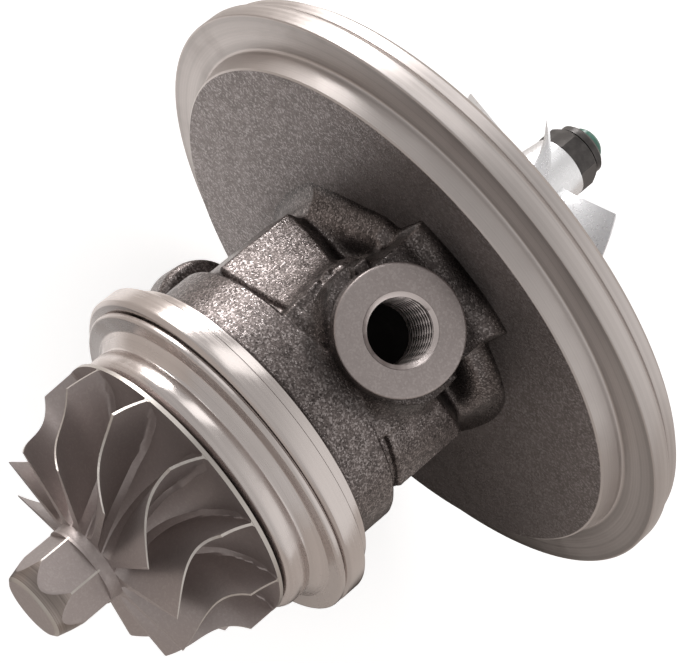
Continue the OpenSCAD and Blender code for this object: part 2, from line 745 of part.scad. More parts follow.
// Rotor shaft: journals, waist, and the stub that carries the compressor end
module rotor_shaft() {
    waist_y0 = -turbine_bush_mid + bush_len / 2 + ring_w;
    waist_y1 = -compressor_bush_mid - bush_len / 2 - ring_w;
    color(steel)
        turned([[0, seal_boss_y], [journal_r, seal_boss_y], [journal_r, waist_y0],
            [waist_r, waist_y0 + edge], [waist_r, waist_y1 - edge], [journal_r, waist_y1],
            [journal_r, inner_ring_y], [stub_r, inner_ring_y], [stub_r, shaft_end - end_chamfer],
            [stub_r - end_chamfer, shaft_end], [0, shaft_end]]);
}

// Piston rings: split sealing rings, sprung against their bores
module piston_ring(bore_r, y0) {
    color(steel)
        difference() {
            tube(bore_r - piston_t, bore_r, y0, y0 + piston_w);
            split(bore_r, y0, y0 + piston_w, 90);
        }
}

module turbine_piston_ring() {
    piston_ring(seal_bore_r, turbine_groove_y + ring_side);
}

module compressor_piston_ring() {
    piston_ring(plate_bore_r, compressor_groove_y + ring_side);
}

// Floating bushes: bronze, drilled for oil, free to turn between shaft and housing
module bush(mid) {
    color(bronze)
        difference() {
            turned([[journal_r + journal_gap, -mid - bush_len / 2], [bush_r - edge, -mid - bush_len / 2],
                [bush_r, -mid - bush_len / 2 + edge], [bush_r, -mid + bush_len / 2 - edge],
                [bush_r - edge, -mid + bush_len / 2], [journal_r + journal_gap, -mid + bush_len / 2]]);
            for (i = [0 : bush_holes - 1])
                rotate([0, i * 360 / bush_holes, 0])
                    translate([0, -mid, 0])
                        cylinder(r = bush_hole_r, h = bush_r + lap, $fn = small);
        }
}

module turbine_bush() {
    bush(turbine_bush_mid);
}

module compressor_bush() {
    bush(compressor_bush_mid);
}

// Retaining rings: four split rings in the housing bore, one at each bush end
module bush_retaining_rings() {
    color(steel)
        for (y = ring_places())
            difference() {
                tube(ring_in_radius, bush_bore_r + ring_groove_depth, y, y + ring_w);
                split(bush_bore_r, y, y + ring_w, -90);
            }
}

// Thrust rings and sleeve: hardened steel, clamped on the stub by the nut
module inner_thrust_ring() {
    color(steel)
        tube(stub_r, thrust_ring_r, inner_ring_y, inner_ring_y + thrust_ring_w);
}

module thrust_sleeve() {
    color(steel)
        tube(stub_r, thrust_sleeve_r, inner_ring_y + thrust_ring_w, outer_ring_y);
}

module outer_thrust_ring() {
    color(steel)
        tube(stub_r, thrust_ring_r, outer_ring_y, sleeve_y);
}

// Thrust bearing: bronze plate, open at the bottom for the oil, with oil grooves in its face
module thrust_bearing() {
    color(bronze)
        difference() {
            tube(thrust_sleeve_r + run_gap, thrust_r, thrust_seat_y, thrust_front_y);
            translate([-thrust_open, thrust_seat_y - lap, -thrust_r - lap])
                cube([2 * thrust_open, thrust_w + 2 * lap, thrust_r - well_r + lap]);
            at_screws()
                plug(screw_r + push_gap, thrust_seat_y - lap, thrust_front_y + lap, small);
            for (i = [0 : pad_grooves - 1])
                rotate([0, (i + 0.5) * 360 / pad_grooves, 0])
                    translate([thrust_sleeve_r, thrust_front_y - pad_depth, -pad_w / 2])
                        cube([thrust_ring_r - thrust_sleeve_r, pad_depth + lap, pad_w]);
        }
}

module thrust_bearing_screws() {
    color(black)
        at_screws() {
            plug(screw_r, thrust_front_y - screw_len, thrust_front_y, small);
            difference() {
                plug(screw_head_r, thrust_front_y, thrust_front_y + screw_head_h, small);
                rotate([-90, 0, 0])
                    translate([0, 0, thrust_front_y + screw_head_h / 2])
                        cylinder(r = socket_r, h = screw_head_h, $fn = 6);
            }
        }
}

// Seal sleeve: carries the compressor-side piston ring and throws the oil off
module seal_sleeve() {
    groove_in = seal_sleeve_r - piston_groove_depth;
    groove_end = compressor_groove_y + piston_groove_w;
    color(steel)
        turned([[stub_r, sleeve_y], [seal_sleeve_r, sleeve_y], [seal_sleeve_r, compressor_groove_y],
            [groove_in, compressor_groove_y], [groove_in, groove_end],
            [seal_sleeve_r, groove_end], [seal_sleeve_r, wheel_back], [stub_r, wheel_back]]);
}

// Oil deflector: sheet plate between the thrust bearing and the seal plate
module oil_deflector() {
    color(steel)
        difference() {
            tube(plate_bore_r, deflector_r, deflector_y, plate_y);
            translate([-deflector_r, deflector_y - lap, -deflector_r - lap])
                cube([2 * deflector_r, deflector_w + 2 * lap, deflector_r - screw_circle_r + lap]);
        }
}

// Seal plate: closes the bearing chamber behind the compressor wheel
module seal_plate() {
    groove_in = plate_r - 2 * o_ring_r;
    groove_y = plate_y + plate_w / 2;
    rim = plate_r - plate_gap;
    color(alloy)
        turned([[plate_bore_r, plate_y], [rim, plate_y], [rim, groove_y - o_ring_r],
            [groove_in, groove_y - o_ring_r], [groove_in, groove_y + o_ring_r], [rim, groove_y + o_ring_r],
            [rim, snap_y], [plate_mid_r, snap_y], [plate_mid_r - edge, recess_y - edge],
            [plate_bore_r, recess_y - edge]]);
}

module seal_plate_o_ring() {
    color(black)
        rotate([-90, 0, 0])
            rotate_extrude($fn = fine)
                translate([plate_r - o_ring_r, plate_y + plate_w / 2])
                    circle(r = o_ring_r, $fn = small);
}

module seal_plate_snap_ring() {
    outer = plate_r + snap_depth;
    color(steel)
        difference() {
            tube(outer - snap_band, outer, snap_y, snap_y + snap_w);
            split(outer, snap_y, snap_y + snap_w, 90);
        }
}

// Compressor wheel: milled aluminium, long blades with short ones between

// Places along hub and shroud, u from inlet to outlet, both quarter ellipses
wheel_face = spigot_end;
hub_inlet_y = inducer_y + hub_lead;
function vane_hub_r(u) = exducer_r - (exducer_r - hub_nose_r) * cos(90 * u);
function vane_hub_y(u) = wheel_face + (hub_inlet_y - wheel_face) * (1 - sin(90 * u));
function vane_tip_r(u) = exducer_r - tip_in - (exducer_r - inducer_r) * cos(90 * u);
function vane_tip_y(u) = wheel_face + exducer_w + (inducer_y - wheel_face - exducer_w) * (1 - sin(90 * u));

// Turn of the vane: steep at the inlet's tip, laid back at the outlet
function vane_tip_turn(u) = -blade_wrap * (2 * u - 1.4 * u * u + 0.4 * u * u * u);
function vane_hub_turn(u) = -blade_wrap * (0.9 * u + 0.1 * u * u);

function vane_stations(start) = [for (i = [0 : vane_steps]) let (u = start + (1 - start) * i / vane_steps)
    [vane_hub_r(u) - root_in, vane_hub_y(u) - (wheel_face - wheel_back) / 2 * u, vane_hub_turn(u),
        vane_tip_r(u), vane_tip_y(u), vane_tip_turn(u)]];

module compressor_wheel() {
    color(alloy) {
        turned(concat([[stub_r, wheel_back], [exducer_r - edge, wheel_back], [exducer_r, wheel_back + edge]],
            [for (i = [0 : hub_steps]) let (u = 1 - i / hub_steps) [vane_hub_r(u), vane_hub_y(u)]],
            [[hub_nose_r - hub_taper, hub_end], [stub_r, hub_end]]));
        for (i = [0 : long_blades - 1]) {
            rotate([0, -long_phase - i * 360 / long_blades, 0])
                blade(vane_stations(0), vane_root_t, vane_tip_t);
            rotate([0, -long_phase - (i + 0.5) * 360 / long_blades, 0])
                blade(vane_stations(short_start), vane_root_t, vane_tip_t);
        }
    }
}

// Lock nut: hexagon with a round locking collar
module lock_nut() {
    corner_r = nut_af / 2 / cos(30);
    hex_end = hub_end + nut_h;
    color(black) {
        difference() {
            intersection() {
                rotate([-90, 0, 0])
                    translate([0, 0, hub_end])
                        cylinder(r = corner_r, h = nut_h, $fn = 6);
                turned([[0, hub_end], [corner_r, hub_end], [corner_r, hex_end - nut_chamfer],
                    [corner_r - nut_chamfer, hex_end], [0, hex_end]]);
            }
            plug(stub_r, hub_end - lap, hex_end + lap);
        }
        turned([[stub_r, hex_end - lap], [nut_collar_r - nut_groove, hex_end - lap],
            [nut_collar_r - nut_groove, hex_end + edge], [nut_collar_r, hex_end + edge],
            [nut_collar_r, nut_end - end_chamfer], [nut_collar_r - end_chamfer, nut_end], [stub_r, nut_end]]);
    }
}

bearing_housing();
heat_shield();
turbine_wheel();
rotor_shaft();
turbine_piston_ring();
turbine_bush();
compressor_bush();
bush_retaining_rings();
inner_thrust_ring();
thrust_sleeve();
thrust_bearing();
thrust_bearing_screws();
outer_thrust_ring();
seal_sleeve();
compressor_piston_ring();
oil_deflector();
seal_plate();
seal_plate_o_ring();
seal_plate_snap_ring();
compressor_wheel();
lock_nut();
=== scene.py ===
# Turbocharger cartridge: the looks of its cast bearing housing, heat shield and rotor.
# Drawing sizes are in millimetres, as the piece is measured; the meshes are made in metres.

import bmesh
import bpy
import numpy as np
from mathutils import Matrix, Vector


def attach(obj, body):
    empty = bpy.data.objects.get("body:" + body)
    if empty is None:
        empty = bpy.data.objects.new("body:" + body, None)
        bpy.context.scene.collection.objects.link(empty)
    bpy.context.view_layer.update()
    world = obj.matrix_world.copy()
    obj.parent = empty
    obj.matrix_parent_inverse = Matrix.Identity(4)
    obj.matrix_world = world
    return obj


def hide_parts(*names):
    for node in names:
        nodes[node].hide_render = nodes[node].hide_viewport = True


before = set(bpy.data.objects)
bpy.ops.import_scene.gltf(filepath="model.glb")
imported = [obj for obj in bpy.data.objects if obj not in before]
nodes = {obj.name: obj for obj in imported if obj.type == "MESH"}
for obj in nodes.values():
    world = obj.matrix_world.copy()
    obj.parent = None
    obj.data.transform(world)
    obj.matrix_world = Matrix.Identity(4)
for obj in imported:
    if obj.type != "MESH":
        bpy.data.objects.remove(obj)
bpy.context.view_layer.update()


# Turbine flange of the bearing housing.
# The casting's front end, turned bright all over: a chamfered flange that centres the turbine housing,
# a narrower step behind it, and the bore of the turbine seal.
def arc(centre_r, centre_y, radius, start, end, steps=6):
    """Points of a circular arc about (centre_r, centre_y), from the start to the end angle in degrees."""
    a = np.radians(np.linspace(start, end, steps + 1))
    return np.stack([centre_r + radius * np.cos(a), centre_y + radius * np.sin(a)], 1)


def profile(*stretches):
    """Points and arcs joined into one outline of (radius, y)."""
    return np.concatenate([np.atleast_2d(np.asarray(s, float)) for s in stretches])


def lathe(outline, columns=384):
    """An outline of (radius, y) carried round the rotor axis: at angle t a point lies at (r cos t, y, r sin t)."""
    t = np.linspace(0, 2 * np.pi, columns, endpoint=False)
    r, y = np.asarray(outline, float).T
    return np.stack([r[:, None] * np.cos(t), y[:, None] + 0 * t, r[:, None] * np.sin(t)], -1)


def quads(rows, columns, loop=False, ring=True):
    """Corner numbers of the quads between neighbours of a grid; loop joins the last row to the first, and ring the
    last column."""
    i, j = np.meshgrid(np.arange(rows - (not loop)), np.arange(columns - (not ring)), indexing="ij")
    k, m = (i + 1) % rows, (j + 1) % columns
    return np.stack([i * columns + j, k * columns + j, k * columns + m, i * columns + m], -1).reshape(-1, 4)


def surface(grid, number=0, loop=False):
    """A grid of points with its quads and their material number, as piece() takes them."""
    return grid, quads(*grid.shape[:2], loop=loop), number


def piece(name, surfaces, materials, body, sharp=32, hollow=None):
    """A mesh from (points, quads, material number) surfaces in millimetres: equal points are merged, and edges that
    turn more than the sharp angle stay crisp. A value of hollow for each point says how deep in a hollow it lies; it is
    stored on the mesh so that a material can paint shade there."""
    counts = np.cumsum([0] + [p.reshape(-1, 3).shape[0] for p, q, m in surfaces])
    points = np.concatenate([p.reshape(-1, 3) for p, q, m in surfaces]) * 0.001
    faces = np.concatenate([q + c for (p, q, m), c in zip(surfaces, counts)])
    number = np.concatenate([np.broadcast_to(m, len(q)) for p, q, m in surfaces]).astype(np.int32)
    mesh = bpy.data.meshes.new(name)
    mesh.vertices.add(len(points))
    mesh.vertices.foreach_set("co", points.ravel())
    mesh.loops.add(faces.size)
    mesh.loops.foreach_set("vertex_index", faces.ravel().astype(np.int32))
    mesh.polygons.add(len(faces))
    mesh.polygons.foreach_set("loop_start", np.arange(0, faces.size, 4, dtype=np.int32))
    mesh.polygons.foreach_set("material_index", number)
    mesh.update(calc_edges=True)
    if hollow is not None:
        mesh.attributes.new("hollow", "FLOAT", "POINT").data.foreach_set("value", hollow.ravel())
    merged = bmesh.new()
    merged.from_mesh(mesh)
    bmesh.ops.remove_doubles(merged, verts=merged.verts, dist=2e-7)
    merged.to_mesh(mesh)
    merged.free()
    mesh.polygons.foreach_set("use_smooth", np.ones(len(mesh.polygons), bool))
    mesh.set_sharp_from_angle(angle=np.radians(sharp))
    for m in materials:
        mesh.materials.append(m)
    made = bpy.data.objects.new(name, mesh)
    bpy.context.scene.collection.objects.link(made)
    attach(made, body)
    return made


def node(tree, kind, props=(), **inputs):
    """Adds a shader node. An input is named by its socket, or by its number after n, and takes a value or a socket."""
    made = tree.nodes.new("ShaderNode" + kind)
    for key, value in props:
        setattr(made, key, value)
    for key, value in inputs.items():
        socket = made.inputs[int(key[1:])] if key[1:].isdigit() else made.inputs[key.replace("_", " ")]
        if isinstance(value, bpy.types.NodeSocket):
            tree.links.new(value, socket)
        else:
            socket.default_value = value
    return made


def math(tree, operation, *values):
    """A math node on up to three values or sockets."""
    inputs = {"n%d" % i: v for i, v in enumerate(values)}
    return node(tree, "Math", [("operation", operation)], **inputs).outputs[0]


def ramp(tree, value, low, high, to_low=0.0, to_high=1.0):
    """Maps a value from one range to another, smoothly and clamped."""
    made = node(tree, "MapRange", [("interpolation_type", "SMOOTHSTEP")], Value=value, From_Min=low, From_Max=high,
                To_Min=to_low, To_Max=to_high)
    return made.outputs[0]


def blend(tree, share, first, second):
    """Mixes two colours by a share from 0 to 1."""
    made = node(tree, "Mix", [("data_type", "RGBA")], n0=share)
    for socket, value in ((made.inputs[6], first), (made.inputs[7], second)):
        if isinstance(value, bpy.types.NodeSocket):
            tree.links.new(value, socket)
        else:
            socket.default_value = (*value, 1.0)
    return made.outputs[2]


def group(name, inputs, outputs):
    """An empty shader node group with number inputs, given as name and default, and named value outputs."""
    tree = bpy.data.node_groups.new(name, "ShaderNodeTree")
    for key, value in inputs:
        tree.interface.new_socket(name=key, in_out="INPUT", socket_type="NodeSocketFloat").default_value = value
    for key in outputs:
        tree.interface.new_socket(name=key, in_out="OUTPUT", socket_type="NodeSocketFloat")
    return tree, tree.nodes.new("NodeGroupInput"), tree.nodes.new("NodeGroupOutput")


def use(tree, made, **inputs):
    """Places a node group in a material with its own values."""
    placed = node(tree, "Group")
    placed.node_tree = made
    for key, value in inputs.items():
        placed.inputs[key.replace("_", " ")].default_value = value
    return placed.outputs


# Lathe marks: fine rings left by the tool, stronger and weaker in bands, with a few deeper single lines
lathe_marks, given, made_out = group("lathe_marks", [("Pitch", 0.00022)], ["Line", "Band"])
place = node(lathe_marks, "TexCoord").outputs["Object"]
split = node(lathe_marks, "SeparateXYZ", Vector=place).outputs
radius = math(lathe_marks, "SQRT", math(lathe_marks, "ADD", math(lathe_marks, "MULTIPLY", split[0], split[0]),
                                        math(lathe_marks, "MULTIPLY", split[2], split[2])))
along = math(lathe_marks, "ADD", radius, math(lathe_marks, "MULTIPLY", split[1], 0.73))
turns = math(lathe_marks, "DIVIDE", along, given.outputs["Pitch"])
ring_noise = node(lathe_marks, "TexNoise", [("noise_dimensions", "1D")], W=turns, Scale=1.0, Detail=2.0).outputs[0]
band_noise = node(lathe_marks, "TexNoise", [("noise_dimensions", "1D")], W=turns, Scale=0.09, Detail=1.0).outputs[0]
lathe_marks.links.new(ring_noise, made_out.inputs["Line"])
lathe_marks.links.new(band_noise, made_out.inputs["Band"])

# Handling marks: broad soft smudges and dulled spots that every bare metal face picks up
smudge, given, made_out = group("smudge", [("Scale", 90.0)], ["Smudge"])
place = node(smudge, "TexCoord").outputs["Object"]
wide = node(smudge, "TexNoise", Vector=place, Scale=given.outputs["Scale"], Detail=4.0, Roughness=0.6).outputs[0]
smudge.links.new(ramp(smudge, wide, 0.42, 0.68), made_out.inputs["Smudge"])


def new_material(name):
    """A new material, with its node tree and its Principled shader."""
    made = bpy.data.materials.new(name)
    made.use_nodes = True
    return made, made.node_tree, made.node_tree.nodes["Principled BSDF"]


def metal(name, colour, second, roughness, pitch=0.00022, line_depth=0.15, smudge_scale=90.0, spread=0.1):
    """Bare turned or ground metal: two tones along the lathe marks, roughness from the marks and the smudges."""
    made, tree, shader = new_material(name)
    marks = use(tree, lathe_marks, Pitch=pitch)
    dull = use(tree, smudge, Scale=smudge_scale)["Smudge"]
    tone = math(tree, "ADD", math(tree, "MULTIPLY", ramp(tree, marks["Band"], 0.35, 0.65), 0.6),
                math(tree, "MULTIPLY", ramp(tree, marks["Line"], 0.3, 0.7), 0.4))
    tree.links.new(blend(tree, tone, colour, second), shader.inputs["Base Color"])
    rough = ramp(tree, marks["Line"], 0.3, 0.7, roughness, roughness + 0.08)
    tree.links.new(math(tree, "ADD", math(tree, "MULTIPLY", dull, spread), rough), shader.inputs["Roughness"])
    bump = node(tree, "Bump", Strength=line_depth, Distance=0.00003, Height=marks["Line"])
    tree.links.new(bump.outputs[0], shader.inputs["Normal"])
    shader.inputs["Metallic"].default_value = 1.0
    return made


ground_steel = metal("ground_steel", (0.56, 0.51, 0.49), (0.64, 0.585, 0.56), 0.16, line_depth=0.08)

flange_r, flange_y, flange_back, chamfer, flange_edge = 30.65, -42.85, -39.0, 0.65, 0.2
step_r, step_back = 28.4, -36.6
seal_r, seal_end, seal_mouth, shell_r = 8.75, -38.25, 0.3, 14.0
flange_outline = profile(
    [(seal_r, seal_end), (seal_r, flange_y + seal_mouth)], [(seal_r + seal_mouth, flange_y)],
    [(flange_r - chamfer - 0.12, flange_y), (flange_r - chamfer + 0.02, flange_y + 0.04)],
    [(flange_r - 0.04, flange_y + chamfer - 0.05), (flange_r, flange_y + chamfer + 0.12)],
    arc(flange_r - flange_edge, flange_back - flange_edge, flange_edge, 0, 90, 3), [(step_r, flange_back)],
    arc(step_r - flange_edge, step_back - flange_edge, flange_edge, 0, 90, 3),
    [(shell_r, step_back), (shell_r, seal_end)])
turbine_flange = piece("turbine_flange", [surface(lathe(flange_outline), loop=True)], [ground_steel],
                       "housing")
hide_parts("bearing_housing")


# Rim disc of the bearing housing.
# The wide plate at the casting's other end: its inside is shot-blasted as cast; the step, the ring face, the rim and
# the spigot behind it are turned, because the compressor cover is centred and clamped on them.
cast_grain, given, made_out = group("cast_grain", [("Grain", 0.0006)], ["Tone", "Spark", "Height"])
place = node(cast_grain, "TexCoord").outputs["Object"]
scale = math(cast_grain, "DIVIDE", 1.0, given.outputs["Grain"])
coarse = node(cast_grain, "TexNoise", Vector=place, Scale=scale, Detail=3.0, Roughness=0.6).outputs[0]
broad_scale = math(cast_grain, "MULTIPLY", scale, 0.12)
broad = node(cast_grain, "TexNoise", Vector=place, Scale=broad_scale, Detail=3.0).outputs[0]
dents = node(cast_grain, "TexVoronoi", Vector=place, Scale=scale).outputs
chance = node(cast_grain, "SeparateColor", Color=dents["Color"]).outputs[0]
height = math(cast_grain, "ADD", math(cast_grain, "MULTIPLY", coarse, 0.5),
              math(cast_grain, "MULTIPLY", dents["Distance"], 0.5))
tone = math(cast_grain, "ADD", math(cast_grain, "MULTIPLY", ramp(cast_grain, coarse, 0.35, 0.65), 0.25),
            math(cast_grain, "ADD", math(cast_grain, "MULTIPLY", chance, 0.55),
                 math(cast_grain, "MULTIPLY", ramp(cast_grain, broad, 0.35, 0.65), 0.2)))
cast_grain.links.new(tone, made_out.inputs["Tone"])
cast_grain.links.new(ramp(cast_grain, chance, 0.6, 1.0), made_out.inputs["Spark"])
cast_grain.links.new(height, made_out.inputs["Height"])


def blasted(name, low, high, spark, grain, depth, rough, metallic=0.9):
    """Shot-blasted casting: pits darker than the peened tops, with small bright facets that catch the light."""
    made, tree, shader = new_material(name)
    skin = use(tree, cast_grain, Grain=grain)
    colour = blend(tree, skin["Tone"], low, high)
    colour = blend(tree, skin["Spark"], colour, spark)
    tree.links.new(colour, shader.inputs["Base Color"])
    tree.links.new(ramp(tree, skin["Spark"], 0.0, 1.0, rough[1], rough[0]), shader.inputs["Roughness"])
    bump = node(tree, "Bump", Strength=depth, Distance=0.00012, Height=skin["Height"])
    tree.links.new(bump.outputs[0], shader.inputs["Normal"])
    shader.inputs["Metallic"].default_value = metallic
    return made


disc_iron = blasted("disc_iron", (0.13, 0.11, 0.104), (0.30, 0.268, 0.262), (0.36, 0.327, 0.322), 0.0003, 0.6,
                    rough=(0.34, 0.46))
turned_iron = metal("turned_iron", (0.466, 0.426, 0.408), (0.594, 0.546, 0.525), 0.32, pitch=0.0004, line_depth=0.25)
ring_iron = metal("ring_iron", (0.38, 0.352, 0.34), (0.55, 0.512, 0.497), 0.36, pitch=0.0004, line_depth=0.25)

rim_r, rim_w, ring_in_r, cast_r, cast_y = 56.0, 3.1, 49.6, 48.3, -3.9
wall_edge, ring_edge, rim_edge = 0.5, 0.4, 0.3
spigot_r, spigot_end, relief, spigot_groove = 54.7, 7.1, 0.8, 0.2
plate_r, recess_r, recess_y, thrust_seat = 20.5, 27.8, 6.0, -3.0
face_rows = profile([(shell_r, thrust_seat), (shell_r, cast_y), (cast_r - wall_edge, cast_y)],
                    arc(cast_r - wall_edge, cast_y + rim_edge, rim_edge, 270, 300, 3))
wall_rows = profile(face_rows[-1], [(cast_r - 0.05, cast_y + rim_edge), (ring_in_r - wall_edge, -0.55)],
                    arc(ring_in_r - 0.1, -ring_edge, ring_edge, 190, 90, 4)[1:])
wall_rows[-1] = (ring_in_r, 0.0)
ring_rows = profile(wall_rows[-1], [(rim_r - 0.35, 0.0)])
rim_rows = profile(ring_rows[-1], arc(rim_r - rim_edge, rim_edge, rim_edge, -90, 0, 4), [(rim_r, rim_w - 0.1)],
                   [(rim_r - 0.05, rim_w + 0.05), (rim_r - relief, rim_w + relief)],
                   [(spigot_r - spigot_groove, rim_w + relief), (spigot_r - spigot_groove, rim_w + 1.5 * relief)],
                   [(spigot_r, rim_w + 1.5 * relief + spigot_groove), (spigot_r, spigot_end - relief)],
                   [(spigot_r - relief, spigot_end), (recess_r + 0.2, spigot_end), (recess_r, spigot_end - 0.2)],
                   [(recess_r, recess_y), (plate_r, recess_y), (plate_r, thrust_seat), (shell_r, thrust_seat)])
rim_finish = ((face_rows, 0), (wall_rows, 1), (ring_rows, 2), (rim_rows, 1))
piece("rim_disc", [surface(lathe(rows, 512), number) for rows, number in rim_finish],
      [disc_iron, turned_iron, ring_iron], "housing")


# Cast body of the bearing housing.
# The middle of the iron casting, left as cast and shot-blasted: a collar behind the flange, a flat-sided core, a valley
# before the disc on each side, the raised spine and rib that carry the oil inlet, and the neck of the oil drain.
def soft_max(a, b, k):
    """The larger of two surfaces, with a fillet of about size k where they cross."""
    h = np.clip(0.5 + 0.5 * (a - b) / k, 0, 1)
    return b + (a - b) * h + k * h * (1 - h)


def soft_min(a, b, k):
    """The smaller of two surfaces, with an edge rounding of about size k where they cross."""
    return -soft_max(-a, -b, k)


def lumps(shape, across, seed):
    """Seeded smooth noise on a grid that closes round its columns, from -1 to 1: random values blurred in frequency."""
    random = np.random.default_rng(seed).standard_normal(shape)
    rows, columns = np.fft.fftfreq(shape[0])[:, None], np.fft.fftfreq(shape[1])[None]
    blur = np.exp(-((rows * across[0]) ** 2 + (columns * across[1]) ** 2) * 10)
    blurred = np.fft.ifft2(np.fft.fft2(random) * blur).real
    return blurred / np.abs(blurred).max()


collar_r, collar_start, collar_end, collar_fillet = 25.1, -34.6, -26.8, 2.0
core_r, left_half, right_half, gap_w, gap_r, gap_depth = 24.2, 23.2, 21.6, 1.6, 22.6, 0.9
edge_round, lip, lip_turn, disc_side, gap_end = 0.7, 0.25, 0.03, -9.5, -20.0
dish_depth, dish_at, dish_half = 2.1, 141.5, 20.5
valley_start, valley_end, valley_width, valley_depth, valley_edge = -14.5, -6.6, (1.3, 2.6), (1.7, 6.0), 3.2
spine_r, spine_half, spine_front, spine_back = 25.5, 12.5, -25.5, -12.5
rib_top, rib_half, rib_front = 32.0, 10.0, -16.0
boss_at, boss_r, boss_lean, foot_r, foot_top = (0.0, -17.8, 33.6), 10.5, 9.0, 4.6, 31.0
drain_y, neck_r, neck_top, drain_z = -20.0, 13.2, 27.0, -31.5
fillet, mould_waves, mould_grain, ridge_end = 3.4, 0.14, 0.06, -11.5
inlet_open, drain_open = 8.5, 8.3
body_rows = ((-37.2, -34.4, 12), (-34.4, -28.5, 18), (-28.5, -22.5, 44), (-22.5, -12.0, 52),
             (-12.0, cast_y - fillet, 38))
body_y = np.concatenate([np.linspace(start, end, rows)[:-1] for start, end, rows in body_rows]
                        + [cast_y - fillet + fillet * np.sin(np.radians(np.linspace(0, 88, 14)))])
body_t = np.radians(np.concatenate([np.linspace(0, 180, 300)[:-1], np.linspace(180, 360, 130)[:-1]]))
Y, T = np.meshgrid(body_y, body_t, indexing="ij")
cos_t, up = np.abs(np.cos(T)) + 1e-6, np.sin(T)

# The flat-sided core: its left face is dished, its corners carry a lip, and they are rounder beside the disc
core_half = np.where(np.cos(T) < 0, left_half, right_half)
by_disc = np.clip((Y - disc_side) / 2.5, 0, 1)
core = soft_min(core_r + 0 * T, core_half / cos_t, 0.5 + 5 * by_disc)
core = core - dish_depth * np.clip(1 - ((np.degrees(T) - dish_at) / dish_half) ** 2, 0, 1)
gap_floor = np.minimum(gap_r + 0.6 * np.clip(np.cos(T) * 3, 0, 1), core - gap_depth)
corner = np.arccos(core_half / core_r)
from_corner = np.arccos(np.clip(cos_t, 0, 1)) - corner
core = core + lip * np.exp(-(from_corner / lip_turn) ** 2) * (up > 0) * (1 - by_disc)


def rounded_end(past, radius):
    """Drop of an edge that ends at past = 0: a quarter circle of the radius before it, a steep wall beyond it."""
    into = np.clip(past / radius + 1, 0, 1)
    return radius * (1 - np.sqrt(1 - into ** 2)) + 3.5 * np.clip(past, 0, None)


collar = collar_r - rounded_end(Y - collar_end, edge_round)
to_flange = np.sqrt(np.clip(collar_fillet ** 2 - (Y - collar_start) ** 2, 0, collar_fillet ** 2))
collar = collar + np.where(Y < collar_start, collar_fillet - to_flange, 0)

# The valley before the disc, wider and deeper towards the spine, and closed again under it
from_side = np.clip((np.degrees(np.arcsin(np.clip(up, -1, 1))) - 16) / 45, 0, 1)
valley_half = valley_width[0] + valley_width[1] * from_side
valley_mid = valley_end - valley_half
valley = core_r - (valley_depth[0] + valley_depth[1] * from_side) * (1 - ((Y - valley_mid) / valley_half) ** 2)
valley = valley + 7 * np.clip((12.0 - 23 * cos_t) / 2.5, 0, 1) ** 2
block = soft_min(core, valley, valley_edge) - rounded_end(collar_end + gap_w - Y, edge_round)

# The spine and the rib that carry the inlet on top, the neck of the drain below, and all of them joined
spine = np.where(up > 0, soft_min(spine_r + 0 * T, spine_half / cos_t, 0.4), 0)
spine = spine - 8 * np.clip((Y - spine_back) / 2.5, 0, 1) - 1.2 * np.clip((spine_front - Y) / 3, 0, 1)
rib = np.where(up > 0, soft_min(rib_top + 0 * T, rib_half / cos_t, 0.7), 0)
rib = rib - 10 * np.clip((rib_front - Y) / 3, 0, 1)
neck_half = np.sqrt(np.clip(neck_r ** 2 - (Y - drain_y) ** 2, 0.01, None))
neck = np.where(up < 0, soft_min(neck_top + 0 * T, neck_half / cos_t, 1.0), 0)
shape = soft_max(soft_max(collar, gap_floor - 6 * (Y > gap_end), 0.4), block, 0.4)
shape = soft_max(shape, spine, 0.5)
shape = soft_max(shape, rib, 1.2)
shape = soft_max(shape, neck, 3.0)

# The foot of the inlet boss: a wide hollow fillet that rises to the boss wall, and runs out where the rib is as high
lean = np.radians(boss_lean)
side = shape * np.cos(T)
level = shape * up - boss_at[2]
across = (Y - boss_at[1]) * np.cos(lean) + level * np.sin(lean)
reach = np.clip(np.hypot(side, across) - boss_r, 0, foot_r)
foot = foot_r - np.sqrt(foot_r ** 2 - (foot_r - reach) ** 2)
shape = shape + np.where(up > 0, foot * np.clip((foot_top - shape) / 4, 0, 1), 0)

# How deep in a hollow each point lies: at the boss's foot, in the valley and in the disc's fillet, where the body's
# material paints near-black shade in place of the shadow in these hollows
hollow = np.where(up > 0, np.clip(1.45 - 1.3 * reach / foot_r, 0, 1), 0)
hollow = np.maximum(hollow, np.clip((core - shape - 0.4) / 2.5, 0, 1) * ((Y > valley_start) & (up > 0)))
hollow = np.maximum(hollow, 0.8 * np.clip((Y - cast_y + fillet) / fillet, 0, 1))

# The fillet up to the disc, the unevenness of the sand mould, and the rough parting ridge beside the spine
to_disc = np.sqrt(np.clip(fillet ** 2 - (Y - cast_y + fillet) ** 2, 0, None))
shape = shape + np.where(Y > cast_y - fillet, fillet - to_disc, 0)
shape = shape + mould_waves * lumps(shape.shape, (9, 12), 3) + mould_grain * lumps(shape.shape, (3, 4), 5)
ridge = np.exp(-((side + spine_half - 0.2) / 0.7) ** 2)
ridge = ridge * np.clip((Y - spine_front) / 2, 0, 1) * np.clip((ridge_end - Y) / 2, 0, 1)
shape = shape + np.where(up > 0, ridge * (0.6 + 1.3 * lumps(shape.shape, (4, 3), 8)), 0)
# The painted shade is lifted off the parting ridge, which stands up out of the hollow
hollow = hollow * (1 - np.clip(1.5 * ridge * (up > 0), 0, 1))
body_grid = np.stack([shape * np.cos(T), Y, shape * np.sin(T)], -1)
inner = np.stack([shell_r * np.cos(T[[0, -1]]), Y[[0, -1]], shell_r * np.sin(T[[0, -1]])], -1)[::-1]
body_grid = np.concatenate([body_grid, inner])
hollow = np.concatenate([hollow, 0 * hollow[:2]])
body_faces = quads(*body_grid.shape[:2], loop=True)

